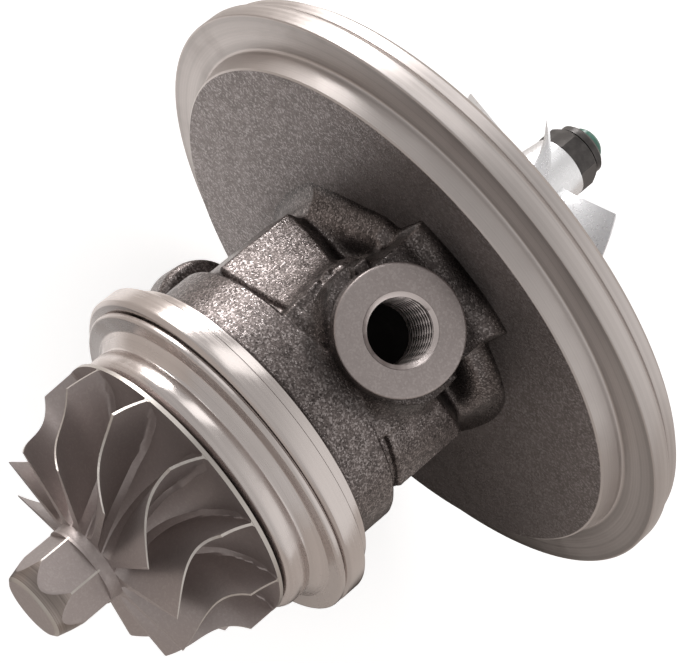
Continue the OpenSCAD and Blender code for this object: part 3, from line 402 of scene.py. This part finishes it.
# The casting is open where the inlet hole and the drain bore pass through it
middle = body_grid.reshape(-1, 3)[body_faces].mean(1)
lift = middle[:, 2] - boss_at[2]
from_inlet = np.hypot(middle[:, 0], (middle[:, 1] - boss_at[1]) * np.cos(lean) + lift * np.sin(lean))
from_drain = np.hypot(middle[:, 0], middle[:, 1] - drain_y)
open_here = np.where(middle[:, 2] > 0, from_inlet < inlet_open, (middle[:, 2] < 0) & (from_drain < drain_open))
body_iron = blasted("body_iron", (0.03, 0.025, 0.0235), (0.25, 0.213, 0.203), (0.32, 0.286, 0.278), 0.00025, 0.55,
                    rough=(0.26, 0.38), metallic=1.0)
tree = body_iron.node_tree
shader = tree.nodes["Principled BSDF"]
bare = shader.inputs["Base Color"].links[0].from_socket
# Painted shade: the base colour darkens towards near black as the hollow value rises, standing in for shadow
painted_hollow_shade = ramp(tree, node(tree, "Attribute", [("attribute_name", "hollow")]).outputs["Fac"], 0.0, 1.0, 0.0, 0.6)
tree.links.new(blend(tree, painted_hollow_shade, bare, (0.03, 0.026, 0.025)), shader.inputs["Base Color"])
piece("cast_body", [(body_grid, body_faces[~open_here], 0)], [body_iron], "housing", sharp=60,
      hollow=hollow)


# Oil inlet boss.
# A round boss on top of the casting; its face is milled flat with a fine edge break, and its hole is tapped M12 x 1.5
# for the oil feed's banjo bolt.
pitch, crest_r, root_r, mouth_r, thread_end, hole_depth, boss_edge = 1.5, 5.2, 5.93, 6.0, 14.8, 15.0, 0.45
thread_s = np.arange(-0.75, -thread_end, -pitch / 22)
edge_turn = np.radians([30, 60])
s_rows = np.concatenate([[-18.4, -16.2, -boss_edge], boss_edge * np.sin(edge_turn) - boss_edge, [0, 0, -0.12, -0.72],
                         thread_s, [-thread_end - 0.1, -hole_depth, -hole_depth - 3.0]])
r_rows = np.concatenate([[0, boss_r, boss_r], boss_r - boss_edge + boss_edge * np.cos(edge_turn),
                         [boss_r - boss_edge, mouth_r + 0.1, mouth_r - 0.02, crest_r + 0.1],
                         np.full(len(thread_s), crest_r), [crest_r - 0.1, crest_r - 0.1, 0]])
first_turn = 9
turn = np.linspace(0, 2 * np.pi, 160, endpoint=False)
phase = np.mod(s_rows[:, None] / pitch - turn / (2 * np.pi), 1)
flank = np.clip((0.5 - np.abs(phase - 0.5)) / 0.5 * 1.45 - 0.25, 0, 1)
run_out = np.clip((s_rows + thread_end) / 0.8, 0, 1) * np.clip((-0.6 - s_rows) / 0.6, 0, 1)
threaded = np.isin(np.arange(len(s_rows)), first_turn + np.arange(len(thread_s)))
boss_radius = r_rows[:, None] + np.where(threaded[:, None], (root_r - crest_r) * flank * run_out[:, None], 0)
local = np.stack([boss_radius * np.cos(turn), boss_radius * np.sin(turn), s_rows[:, None] + 0 * turn], -1)
tilt = np.array([[1, 0, 0], [0, np.cos(lean), -np.sin(lean)], [0, np.sin(lean), np.cos(lean)]])
boss_grid = local @ tilt.T + np.array(boss_at)
boss_faces = quads(*boss_grid.shape[:2])
# Painted shade and light in the tapped hole: the crests and the mouth take a brightened copy of the iron as painted
# light, faces in the thread's roots a near-black copy as painted shade, and the hole's bottom near black as painted
# shade
boss_number = np.repeat(np.array([0, 0] + [1] * 5 + [2] * (len(s_rows) - 10) + [4] * 2), boss_grid.shape[1])
in_root = boss_radius.reshape(-1)[boss_faces].mean(1) > crest_r + 0.2 * (root_r - crest_r)
in_root &= np.arange(len(boss_number)) >= first_turn * boss_grid.shape[1]
boss_number = np.where((boss_number == 2) & in_root, 3, boss_number)
milled_iron = blasted("milled_iron", (0.35, 0.308, 0.297), (0.41, 0.362, 0.35), (0.42, 0.372, 0.36), 0.00028, 0.12,
                      rough=(0.36, 0.46), metallic=1.0)
# The brightened and the near-black copies of the iron that paint light and shade into the thread and the hole
crest_painted_light = metal("crest_painted_light", (0.70, 0.63, 0.61), (0.78, 0.705, 0.685), 0.4, pitch=0.0006, line_depth=0.05)
root_painted_shade = metal("root_painted_shade", (0.06, 0.053, 0.051), (0.08, 0.071, 0.068), 0.45, pitch=0.0006, line_depth=0.05)
hole_painted_shade = metal("hole_painted_shade", (0.02, 0.018, 0.017), (0.03, 0.027, 0.026), 0.6, pitch=0.0006, line_depth=0.05)
piece("inlet_boss", [(boss_grid, boss_faces, boss_number)],
      [body_iron, milled_iron, crest_painted_light, root_painted_shade, hole_painted_shade], "housing")


# Oil drain flange.
# The two-bolt flange under the casting that the oil return pipe is screwed to: faced flat below, cast above, with
# the drain bore between two tapped holes.
pitch_x, lug_r, mid_r, lug_h, bore_r, bolt_r = 36.5, 8.3, 14.5, 8.0, 7.5, 3.4
part_x, edge_r, bore_sink, bolt_sink, bore_top = 12.2, 1.6, 0.4, 0.3, -13.0
reach_x = pitch_x / 2
tangent = np.degrees(np.arccos((mid_r - lug_r) / reach_x))
outline = profile(arc(reach_x, 0, lug_r, -tangent, tangent, 28), arc(0, 0, mid_r, tangent, 180 - tangent, 12)[1:],
                  arc(-reach_x, 0, lug_r, 180 - tangent, 180 + tangent, 28)[1:],
                  arc(0, 0, mid_r, 180 + tangent, 360 - tangent, 12)[1:-1])


def inset(by):
    """The flange's outline moved inwards, towards the line between the two screw holes."""
    out = outline - np.stack([np.clip(outline[:, 0], -reach_x, reach_x), 0 * outline[:, 0]], 1)
    return outline - by * out / np.linalg.norm(out, axis=1, keepdims=True)


def outline_reach(edge, centre_x, angles):
    """How far a closed outline lies from a point on its long axis, along each angle: the nearest crossing of that
    ray with the outline's sides."""
    a = edge - np.array([centre_x, 0.0])
    side_run = np.roll(a, -1, 0) - a
    ray = np.stack([np.cos(angles), np.sin(angles)], 1)[:, None]
    cross = ray[..., 0] * side_run[:, 1] - ray[..., 1] * side_run[:, 0]
    cross = np.where(np.abs(cross) < 1e-9, 1e-9, cross)
    far = (a[:, 0] * side_run[:, 1] - a[:, 1] * side_run[:, 0]) / cross
    part = (a[:, 0] * ray[..., 1] - a[:, 1] * ray[..., 0]) / cross
    return np.where((far > 0) & (part >= -1e-6) & (part <= 1 + 1e-6), far, 1e9).min(1)


def flat_with_hole(edge, centre_x, hole_r, limit_x, z, upward):
    """A flat face round one hole: straight rays from the hole's rim to the outline, or to the line that parts the
    holes; two of the rays end where that line meets the outline."""
    a = np.linspace(0, 2 * np.pi, 144, endpoint=False)
    corner_y = outline_reach(edge, part_x, np.array([np.pi / 2]))[0]
    for limit in limit_x:
        a = np.concatenate([a, np.mod(np.arctan2([corner_y, -corner_y], limit - centre_x), 2 * np.pi)])
    a = np.sort(a)
    far = outline_reach(edge, centre_x, a)
    for limit in limit_x:
        ahead = np.cos(a) * np.sign(limit - centre_x)
        far = np.where(ahead > 1e-6, np.minimum(far, abs(limit - centre_x) / np.maximum(ahead, 1e-6)), far)
    r = np.stack([np.full_like(a, hole_r), np.minimum(far, hole_r + 0.4), far])
    grid = np.stack([centre_x + r * np.cos(a), drain_y + r * np.sin(a), z + 0 * r], -1)
    return grid if upward else grid[::-1]


bottom = [flat_with_hole(outline, 0.0, bore_r + bore_sink, (-part_x, part_x), drain_z, False)]
bottom += [flat_with_hole(outline, s * reach_x, bolt_r + bolt_sink, (s * part_x,), drain_z, False) for s in (-1, 1)]
top = [flat_with_hole(inset(edge_r), s * reach_x, bolt_r, (s * part_x,), drain_z + lug_h, True) for s in (-1, 1)]
top += [flat_with_hole(inset(edge_r), 0.0, bore_r, (-part_x, part_x), drain_z + lug_h, True)]
edge_a = np.radians(np.linspace(0, 90, 8))
wall = [(0.0, 0.0)] + list(zip(edge_r * (1 - np.cos(edge_a)), lug_h - edge_r * (1 - np.sin(edge_a))))
outer_wall = np.stack([np.insert(inset(by) + [0, drain_y], 2, drain_z + h, axis=1) for by, h in wall])


def hole_wall(centre_x, r_low, r, z_low, z_high):
    """The wall of a hole with a countersunk mouth at its lower end, from mouth to top."""
    a = np.linspace(0, 2 * np.pi, 96, endpoint=False)
    z = np.array([z_low, z_low + (r_low - r), z_high])
    radius_at = np.array([r_low, r, r])[:, None]
    return np.stack([centre_x + radius_at * np.cos(a), drain_y + radius_at * np.sin(a), z[:, None] + 0 * a], -1)


holes = [hole_wall(0.0, bore_r + bore_sink, bore_r, drain_z, bore_top)[::-1]]
holes += [hole_wall(s * reach_x, bolt_r + bolt_sink, bolt_r, drain_z, drain_z + lug_h)[::-1] for s in (-1, 1)]
drain_parts = [surface(grid, 1) for grid in bottom + holes] + [surface(grid) for grid in top]
drain_parts.append((outer_wall, quads(*outer_wall.shape[:2])[:, ::-1], 0))
piece("drain_flange", drain_parts, [body_iron, milled_iron], "housing")


# Heat shield.
# A cup pressed from stainless sheet that lies loose between the flange and the turbine wheel, so it rests a little
# off centre until the turbine housing clamps its brim.
brim_r, brim_w, brim_in_r, brim_edge, foot_h, neck_h = 29.7, 1.3, 26.6, 0.5, 1.7, 0.9
crown_r, crown_h, crown_edge, sheet = 24.9, 7.8, 2.0, 0.9
hole_r, dish, lip_w, shift = 10.4, 2.1, 3.0, 0.9
foot_y, crown_y = flange_y - brim_w, flange_y - crown_h
shield_outline = profile(
    [(crown_r - sheet, flange_y)], arc(crown_r - crown_edge, crown_y + crown_edge, crown_edge - sheet, 0, -90, 6),
    [(hole_r + lip_w, crown_y + dish + sheet), (hole_r, crown_y + dish + sheet), (hole_r, crown_y + dish)],
    [(hole_r + lip_w, crown_y + dish)], arc(crown_r - crown_edge, crown_y + crown_edge, crown_edge, -90, 0, 14),
    [(crown_r, foot_y - foot_h - neck_h - 0.4)], arc(crown_r + 0.25, foot_y - foot_h - 0.35, 0.55, 205, 130, 5),
    arc(brim_in_r + 0.35, foot_y - brim_edge, brim_edge, 150, 90, 4), [(brim_r - 0.55, foot_y)],
    arc(brim_r - brim_edge, foot_y + brim_edge, brim_edge, -85, 0, 6),
    [(brim_r, flange_y - 0.4), (brim_r - 0.8, flange_y - 0.3), (brim_r - 0.9, flange_y)])
shield_grid = lathe(shield_outline, 512) + np.array([shift, 0, 0])
pressed_stainless = metal("pressed_stainless", (0.56, 0.511, 0.49), (0.68, 0.622, 0.598), 0.17, pitch=0.0005,
                          line_depth=0.1, smudge_scale=120.0, spread=0.16)
shield = piece("pressed_heat_shield", [surface(shield_grid, loop=True)], [pressed_stainless], "housing")
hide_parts("heat_shield")


# Turbine wheel.
# An investment casting in nickel alloy with a matt, slightly brown skin; the rim and the blade tips are ground bright
# to their running size, and the nose keeps the hexagon by which the wheel is held.
wheel_r, wheel_y, rim_t, hub_len, nose_r = 24.8, -52.0, 0.8, 19.0, 7.07
hub_y, back_y, back_rise = wheel_y - hub_len, wheel_y + rim_t, 2.0
boss_seal_r, groove_y, groove_w, groove_d, seal_end_y = 8.4, flange_y + 1.2, 1.6, 1.3, seal_end - 0.35
nose_af, nose_len, nose_end_r, nose_taper, nose_corner = 12.4, 10.5, 5.8, 0.27, 18.7
nose_edge, ledge_r, ledge_w, corner_r = 0.45, 7.12, 0.45, 7.05
blade_count, wheel_phase, inlet_w, inlet_lean, shroud_len, outlet_r = 12, 7.5, 5.36, 5.07, 11.0, 20.5
outlet_turn, turn_start, turn_late = 25.1, 0.1, 0.15
root_t, tip_t, root_in, tip_gap, blade_fillet = 1.7, 0.5, 1.0, 0.05, 1.1
hub_a = np.radians(np.linspace(0, 90, 40))
hub_outline = profile(
    [(nose_r - 0.12, hub_y - 0.4)],
    np.stack([wheel_r - (wheel_r - nose_r) * np.cos(hub_a), hub_y + hub_len * np.sin(hub_a)], 1))
rim_outline = profile(hub_outline[-1], [(wheel_r, back_y - 0.1), (wheel_r - 0.15, back_y)])
back_outline = profile(
    rim_outline[-1], [(wheel_r - 1.0, back_y)],
    arc(boss_seal_r + 1, back_y + back_rise + 1, 1, 270, 180),
    [(boss_seal_r, groove_y), (boss_seal_r - groove_d, groove_y), (boss_seal_r - groove_d, groove_y + groove_w)],
    [(boss_seal_r, groove_y + groove_w), (boss_seal_r, seal_end_y), (0, seal_end_y)])


def hexagon(angles, flats, corner):
    """Distance from the axis to a hexagon's side: half its width over flats, divided by the cosine of the angle from
    the nearest flat."""
    from_flat = np.mod(np.degrees(angles) - corner, 60) - 30
    return flats / 2 / np.cos(np.radians(from_flat))


nose_t = np.radians(nose_corner) + np.linspace(0, 2 * np.pi, 240, endpoint=False)
flat_r = np.minimum(hexagon(nose_t, nose_af, nose_corner), corner_r)[None]
cone_end = (flat_r - nose_end_r) / nose_taper
none = 0 * flat_r
share = np.linspace(0, 1, 13)[:, None]
cone_y = nose_edge + (cone_end - nose_edge) * share
flat_y = cone_end + (nose_len - ledge_w - cone_end) * share[1:]
nose_radius = np.concatenate([none, none + nose_end_r - nose_edge, nose_end_r + nose_taper * cone_y,
                              flat_r + 0 * flat_y, none + ledge_r, none + ledge_r])
nose_y = np.concatenate([none, none, cone_y, flat_y, none + nose_len - ledge_w, none + nose_len])
nose_grid = np.stack([nose_radius * np.cos(nose_t), hub_y - nose_len + nose_y, nose_radius * np.sin(nose_t)], -1)
worn = (flat_r[0] >= corner_r) & (np.roll(flat_r[0], -1) >= corner_r)
nose_number = np.array([0, 1] + [2] * 12 + [0] * 14)[:, None] + 0 * nose_t.astype(int)
nose_number[14:] = np.where(worn, 1, 0)
nose_number = nose_number.ravel()


def hub_radius(y):
    """The wheel's hub at place y: a quarter ellipse from the disc's front to the nose."""
    return wheel_r - (wheel_r - nose_r) * np.sqrt(np.clip(1 - ((y - hub_y) / hub_len) ** 2, 0, 1))


def blades(stations, thickness, root_depth, fillet_r, angles):
    """Blades about the axis from stations of (root r, root y, root angle, tip r, tip y, tip angle): at each station the
    section runs up one side from root to tip and down the other, thicker towards the root with a fillet at the hub;
    a last section without thickness closes each end. The strip along the tip is returned as a mask of the quads."""
    w = np.concatenate([np.linspace(0, 0.3, 7)[:-1], np.linspace(0.3, 1, 8)])
    root, tip = stations[:, None, :3], stations[:, None, 3:]
    run = root + (tip - root) * w[None, :, None]
    span = np.hypot(stations[:, 3] - stations[:, 0], stations[:, 4] - stations[:, 1])[:, None]
    off_hub = w[None] * span - root_depth
    half = (thickness[0] + (thickness[1] - thickness[0]) * w[None]) / 2
    half = half + fillet_r * np.clip(1 - off_hub / fillet_r, 0, 1) ** 2
    ends = np.ones((len(stations) + 2, 1))
    ends[[0, -1]] = 0
    run = np.concatenate([run[:1], run, run[-1:]])
    half = np.concatenate([half[:1], half, half[-1:]]) * ends
    turn_by = np.degrees(half / np.maximum(run[..., 0], 1))
    r = np.concatenate([run[..., 0], run[:, ::-1, 0]], 1)
    y = np.concatenate([run[..., 1], run[:, ::-1, 1]], 1)
    a = np.concatenate([run[..., 2] + turn_by, (run[..., 2] - turn_by)[:, ::-1]], 1)
    a = np.radians(a[None] + np.asarray(angles)[:, None, None])
    grid = np.stack([r * np.cos(a), y + 0 * a, r * np.sin(a)], -1)
    face = quads(*grid.shape[1:3])
    all_faces = (face[None] + np.arange(len(grid))[:, None, None] * grid.shape[1] * grid.shape[2]).reshape(-1, 4)
    column = np.tile(np.arange(grid.shape[2]), grid.shape[1] - 1)
    return grid, all_faces, np.tile(column == len(w) - 1, len(grid))


v = np.linspace(0, 1, 10)[:-1]
u = np.linspace(0, 1, 34)
inlet_y = wheel_y + rim_t / 2 * (1 - v) - inlet_w * v
inlet_a = inlet_lean * (1.5 * v - 0.5 * v ** 2)
shroud_y = wheel_y - inlet_w - shroud_len * u
shroud_a = inlet_lean + outlet_turn * (turn_start * u - (1 + turn_start - turn_late) * u ** 2 - turn_late * u ** 3)
shroud_r = outlet_r + (wheel_r - tip_gap - outlet_r) * (1 - u) ** 4
inlet_root = hub_radius(np.minimum(inlet_y, wheel_y)) - root_in
stations = np.concatenate([
    np.stack([inlet_root, inlet_y, inlet_a, 0 * v + wheel_r - tip_gap, inlet_y, inlet_a], 1),
    np.stack([hub_radius(shroud_y) - root_in, shroud_y - u, shroud_a, shroud_r, shroud_y, shroud_a], 1)])
blade_angles = wheel_phase + 360 / blade_count * np.arange(blade_count)
blade_grid, blade_faces, blade_tips = blades(stations, (root_t, tip_t), root_in, blade_fillet, blade_angles)

wheel_casting = blasted("wheel_casting", (0.38, 0.331, 0.318), (0.41, 0.358, 0.345), (0.415, 0.364, 0.35), 0.0003, 0.16,
                        rough=(0.4, 0.47), metallic=0.85)
turned_alloy = metal("turned_alloy", (0.21, 0.178, 0.16), (0.40, 0.345, 0.316), 0.26, pitch=0.0003, line_depth=0.4)
ground_tip = metal("ground_tip", (0.46, 0.425, 0.395), (0.56, 0.525, 0.49), 0.3, line_depth=0.1)
wheel_parts = [surface(nose_grid, nose_number)]
for rows, number in ((hub_outline, 0), (rim_outline, 1), (back_outline, 0)):
    wheel_parts.append(surface(lathe(rows, 288), number))
wheel_parts.append((blade_grid, blade_faces, np.where(blade_tips, 1, 0)))
wheel = piece("bladed_turbine_wheel", wheel_parts, [wheel_casting, ground_tip, turned_alloy], "rotor",
              sharp=28)
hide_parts("turbine_wheel")


# Compressor wheel.
# Cast aluminium, bead-blasted bright, with six long blades and six short ones between them, and a turned hub end that
# the lock nut clamps.
exducer_r, inducer_r, exducer_w, inducer_y, hub_nose_r, hub_end = 27.0, 19.5, 3.5, 32.5, 6.2, 38.1
wheel_back, wheel_face, stub_r, long_phase, wrap, short_start = 6.4, 7.1, 3.0, 57.6, 60.0, 0.34
hub_inlet_y, vane_t, vane_fillet = inducer_y + 0.8, (1.2, 0.5), 0.8


def vane_stations(start):
    """Stations of a compressor blade from its start to the outlet: hub and shroud are quarter ellipses, and the blade
    turns fast at the tip's inlet and lies back at the outlet."""
    s = np.linspace(start, 1, 34)
    c, d = np.cos(np.pi / 2 * s), 1 - np.sin(np.pi / 2 * s)
    return np.stack([
        exducer_r - (exducer_r - hub_nose_r) * c - root_in, wheel_face + (hub_inlet_y - wheel_face) * d - 0.35 * s,
        -wrap * (0.9 * s + 0.1 * s ** 2), exducer_r - tip_gap - (exducer_r - inducer_r) * c,
        wheel_face + exducer_w + (inducer_y - wheel_face - exducer_w) * d,
        -wrap * (2 * s - 1.4 * s ** 2 + 0.4 * s ** 3)], 1)


s = np.linspace(1, 0, 40)
vane_hub = np.stack([exducer_r - (exducer_r - hub_nose_r) * np.cos(np.pi / 2 * s),
                     wheel_face + (hub_inlet_y - wheel_face) * (1 - np.sin(np.pi / 2 * s))], 1)
vane_outline = profile([(stub_r, hub_end), (stub_r, wheel_back), (exducer_r - 0.3, wheel_back)],
                       [(exducer_r, wheel_back + 0.3)], vane_hub,
                       [(hub_nose_r - 0.55, hub_end - 0.15), (hub_nose_r - 0.75, hub_end)])
vane_parts = [surface(lathe(vane_outline, 288), loop=True)]
for start, phase in ((0.0, long_phase), (short_start, long_phase + 30)):
    vane_grid, vane_faces, tips = blades(vane_stations(start), vane_t, root_in, vane_fillet, phase + 60 * np.arange(6))
    vane_parts.append((vane_grid, vane_faces, 0 * tips))
bright_aluminium = blasted("bright_aluminium", (0.85, 0.85, 0.86), (0.89, 0.89, 0.9), (0.9, 0.9, 0.91), 0.0004, 0.08,
                           rough=(0.26, 0.36), metallic=0.85)
vanes = piece("bladed_compressor_wheel", vane_parts, [bright_aluminium], "rotor", sharp=40)
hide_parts("compressor_wheel")


# Lock nut and shaft end.
# The nut is steel with a black oxide skin and a round locking collar; the ground shaft stands out of it and carries a
# dab of green paint that marks the nut as tightened.
def oxide(name, colour, second, rough, metallic=0.6):
    """Black oxide on steel, or black rubber: a dark skin, mottled, a little greyer where it is rubbed."""
    made, tree, shader = new_material(name)
    skin = use(tree, cast_grain, Grain=0.0005)
    dull = use(tree, smudge, Scale=220.0)["Smudge"]
    tree.links.new(blend(tree, dull, colour, second), shader.inputs["Base Color"])
    tree.links.new(ramp(tree, dull, 0.0, 1.0, rough, rough + 0.15), shader.inputs["Roughness"])
    bump = node(tree, "Bump", Strength=0.08, Distance=0.0002, Height=skin["Height"])
    tree.links.new(bump.outputs[0], shader.inputs["Normal"])
    shader.inputs["Metallic"].default_value = metallic
    return made


def finish_nodes(material, *names):
    """Gives a material to solids that are shown as they are."""
    for name in names:
        nodes[name].material_slots[0].material = material


def noise(tree, vector, scale):
    """Soft 3-D noise of about one feature per 1/scale metres."""
    return node(tree, "TexNoise", Vector=vector, Scale=scale, Detail=3.0).outputs[0]


black_oxide = oxide("black_oxide", (0.06, 0.055, 0.053), (0.115, 0.106, 0.102), 0.34)
finish_nodes(black_oxide, "lock_nut", "thrust_bearing_screws", "seal_plate_snap_ring")

paint_start, paint_wave = 0.0449, 0.0016
painted_shaft = metal("painted_shaft", (0.50, 0.49, 0.475), (0.60, 0.59, 0.575), 0.2, line_depth=0.1)
tree = painted_shaft.node_tree
shader = tree.nodes["Principled BSDF"]
place = node(tree, "TexCoord").outputs["Object"]
beyond = node(tree, "SeparateXYZ", Vector=place).outputs[1]
dab = math(tree, "ADD", beyond, math(tree, "MULTIPLY", noise(tree, place, 420.0), paint_wave))
dab = ramp(tree, dab, paint_start, paint_start + 0.0003)
bare = shader.inputs["Base Color"].links[0].from_socket
paint = blend(tree, noise(tree, place, 900.0), (0.035, 0.115, 0.085), (0.12, 0.27, 0.215))
tree.links.new(blend(tree, dab, bare, paint), shader.inputs["Base Color"])
tree.links.new(math(tree, "SUBTRACT", 1.0, dab), shader.inputs["Metallic"])
finish_nodes(painted_shaft, "rotor_shaft")


# Bearings, rings and seal plate inside the housing.
# Turned bronze bushes and thrust plate, ground steel rings and sleeves, an aluminium seal plate and its rubber ring.
ring_steel = metal("ring_steel", (0.46, 0.455, 0.45), (0.58, 0.575, 0.57), 0.24)
finish_nodes(ring_steel, "turbine_piston_ring", "compressor_piston_ring", "bush_retaining_rings", "inner_thrust_ring",
             "thrust_sleeve", "outer_thrust_ring", "seal_sleeve", "oil_deflector")
bearing_bronze = metal("bearing_bronze", (0.50, 0.33, 0.145), (0.62, 0.43, 0.21), 0.28)
finish_nodes(bearing_bronze, "turbine_bush", "compressor_bush", "thrust_bearing")
plate_aluminium = metal("plate_aluminium", (0.66, 0.665, 0.68), (0.76, 0.765, 0.78), 0.28, line_depth=0.3)
finish_nodes(plate_aluminium, "seal_plate")
seal_rubber = oxide("seal_rubber", (0.018, 0.018, 0.019), (0.035, 0.034, 0.034), 0.6, metallic=0.0)
finish_nodes(seal_rubber, "seal_plate_o_ring")


# Studio.
# A plain floor that runs out of view, a bright low light on the left with a weaker one above it, and a pale room.
floor_z, floor_half = -0.0565, 3.0
mesh = bpy.data.meshes.new("floor")
floor_corners = [(-floor_half, -floor_half, floor_z), (floor_half, -floor_half, floor_z),
                 (floor_half, floor_half, floor_z), (-floor_half, floor_half, floor_z)]
mesh.from_pydata(floor_corners, [], [(0, 1, 2, 3)])
floor_paper, tree, shader = new_material("floor")
shader.inputs["Base Color"].default_value = (0.93, 0.93, 0.93, 1)
shader.inputs["Roughness"].default_value = 0.9
mesh.materials.append(floor_paper)
floor = bpy.data.objects.new("floor", mesh)
bpy.context.scene.collection.objects.link(floor)

# The floor is white to the camera. The metal mirrors it as a dull table, with two painted shadows as darker spots and a
# painted patch of light that glows to glossy rays
path = node(tree, "LightPath").outputs
place = node(tree, "TexCoord").outputs["Object"]


def away(x, y):
    """Distance of a floor point from a spot on the floor."""
    return node(tree, "VectorMath", [("operation", "DISTANCE")], n0=place, n1=(x, y, floor_z)).outputs["Value"]


# Painted shadows in the floor's mirrored colour: a near-black spot under the part's right side in place of its contact
# shadow, and a darker one under the turbine wheel in place of the wheel's shadow
shade = blend(tree, ramp(tree, away(0.036, -0.012), 0.02, 0.055), (0.06, 0.047, 0.041), (0.80, 0.745, 0.705))
shade = blend(tree, ramp(tree, away(-0.022, -0.07), 0.012, 0.04), (0.20, 0.18, 0.17), shade)
dull_floor = node(tree, "BsdfDiffuse", Color=shade).outputs[0]
# Painted light: a patch of the floor under the left of the part glows to glossy rays, so the disc mirrors a lit table
# there
painted_light_patch = ramp(tree, away(-0.045, -0.022), 0.03, 0.065, 0.62, 0.0)
painted_sheen = node(tree, "Emission", Color=(1, 1, 1, 1), Strength=painted_light_patch).outputs[0]
dull_floor = node(tree, "AddShader", n0=dull_floor, n1=painted_sheen).outputs[0]
glow = node(tree, "Emission", Color=(1, 1, 1, 1), Strength=path["Is Camera Ray"]).outputs[0]
half_glow = node(tree, "MixShader", n0=0.5, n2=glow).outputs[0]
lit = node(tree, "AddShader", n0=shader.outputs[0], n1=half_glow).outputs[0]
seen = node(tree, "MixShader", n0=path["Is Glossy Ray"], n1=lit, n2=dull_floor).outputs[0]
tree.links.new(seen, tree.nodes["Material Output"].inputs["Surface"])


def softbox(name, place, width, height, radiance, look_at=(0, -0.02, 0)):
    """A rectangular area lamp that faces the part; its radiance is what a mirror would show of it."""
    lamp = bpy.data.lights.new(name, "AREA")
    lamp.shape, lamp.size, lamp.size_y, lamp.energy = "RECTANGLE", width, height, np.pi * width * height * radiance
    made = bpy.data.objects.new(name, lamp)
    made.location = place
    made.rotation_euler = (Vector(look_at) - Vector(place)).to_track_quat("-Z", "Y").to_euler()
    bpy.context.scene.collection.objects.link(made)


softbox("key", (-0.83, 0.34, 0.07), 0.50, 0.25, 11.5)
softbox("left_top", (-0.56, 0.34, 0.61), 0.45, 0.34, 1.2)

# The room: pale and even, a little brighter on the right, and most of all behind the part there
world = bpy.data.worlds.new("studio")
bpy.context.scene.world = world
world.use_nodes = True
tree = world.node_tree
towards = node(tree, "TexCoord").outputs["Generated"]


def facing(x, y, z):
    """How far a direction of the room points along (x, y, z)."""
    return node(tree, "VectorMath", [("operation", "DOT_PRODUCT")], n0=towards, n1=(x, y, z)).outputs["Value"]


room = ramp(tree, facing(0.9, -0.2, 0.0), -0.6, 0.9, 0.55, 0.69)
room = math(tree, "ADD", room, ramp(tree, facing(0.7, 0.6, 0.2), 0.25, 0.85, 0.0, 0.26))
room = math(tree, "MAXIMUM", room, node(tree, "LightPath").outputs["Is Camera Ray"])
tree.links.new(room, tree.nodes["Background"].inputs["Strength"])
tree.nodes["Background"].inputs["Color"].default_value = (1, 0.98, 0.965, 1)

# Camera at the photograph's viewing angle
camera = bpy.data.objects.new("camera", bpy.data.cameras.new("camera"))
camera.data.sensor_width, camera.data.lens = 36.0, 141.5
right, down = (0.608283, 0.714681, 0.345285), (0.788028, -0.595788, -0.155077)
ahead = (0.094885, 0.366425, -0.925597)
turned_to = np.eye(4)
turned_to[:3, 0], turned_to[:3, 1], turned_to[:3, 2] = right, -np.array(down), -np.array(ahead)
turned_to[:3, 3] = (-0.044136, -0.173486, 0.406336)
camera.matrix_world = Matrix(turned_to.tolist())
bpy.context.scene.collection.objects.link(camera)
bpy.context.scene.camera = camera
bpy.context.scene.view_settings.view_transform = "Standard"
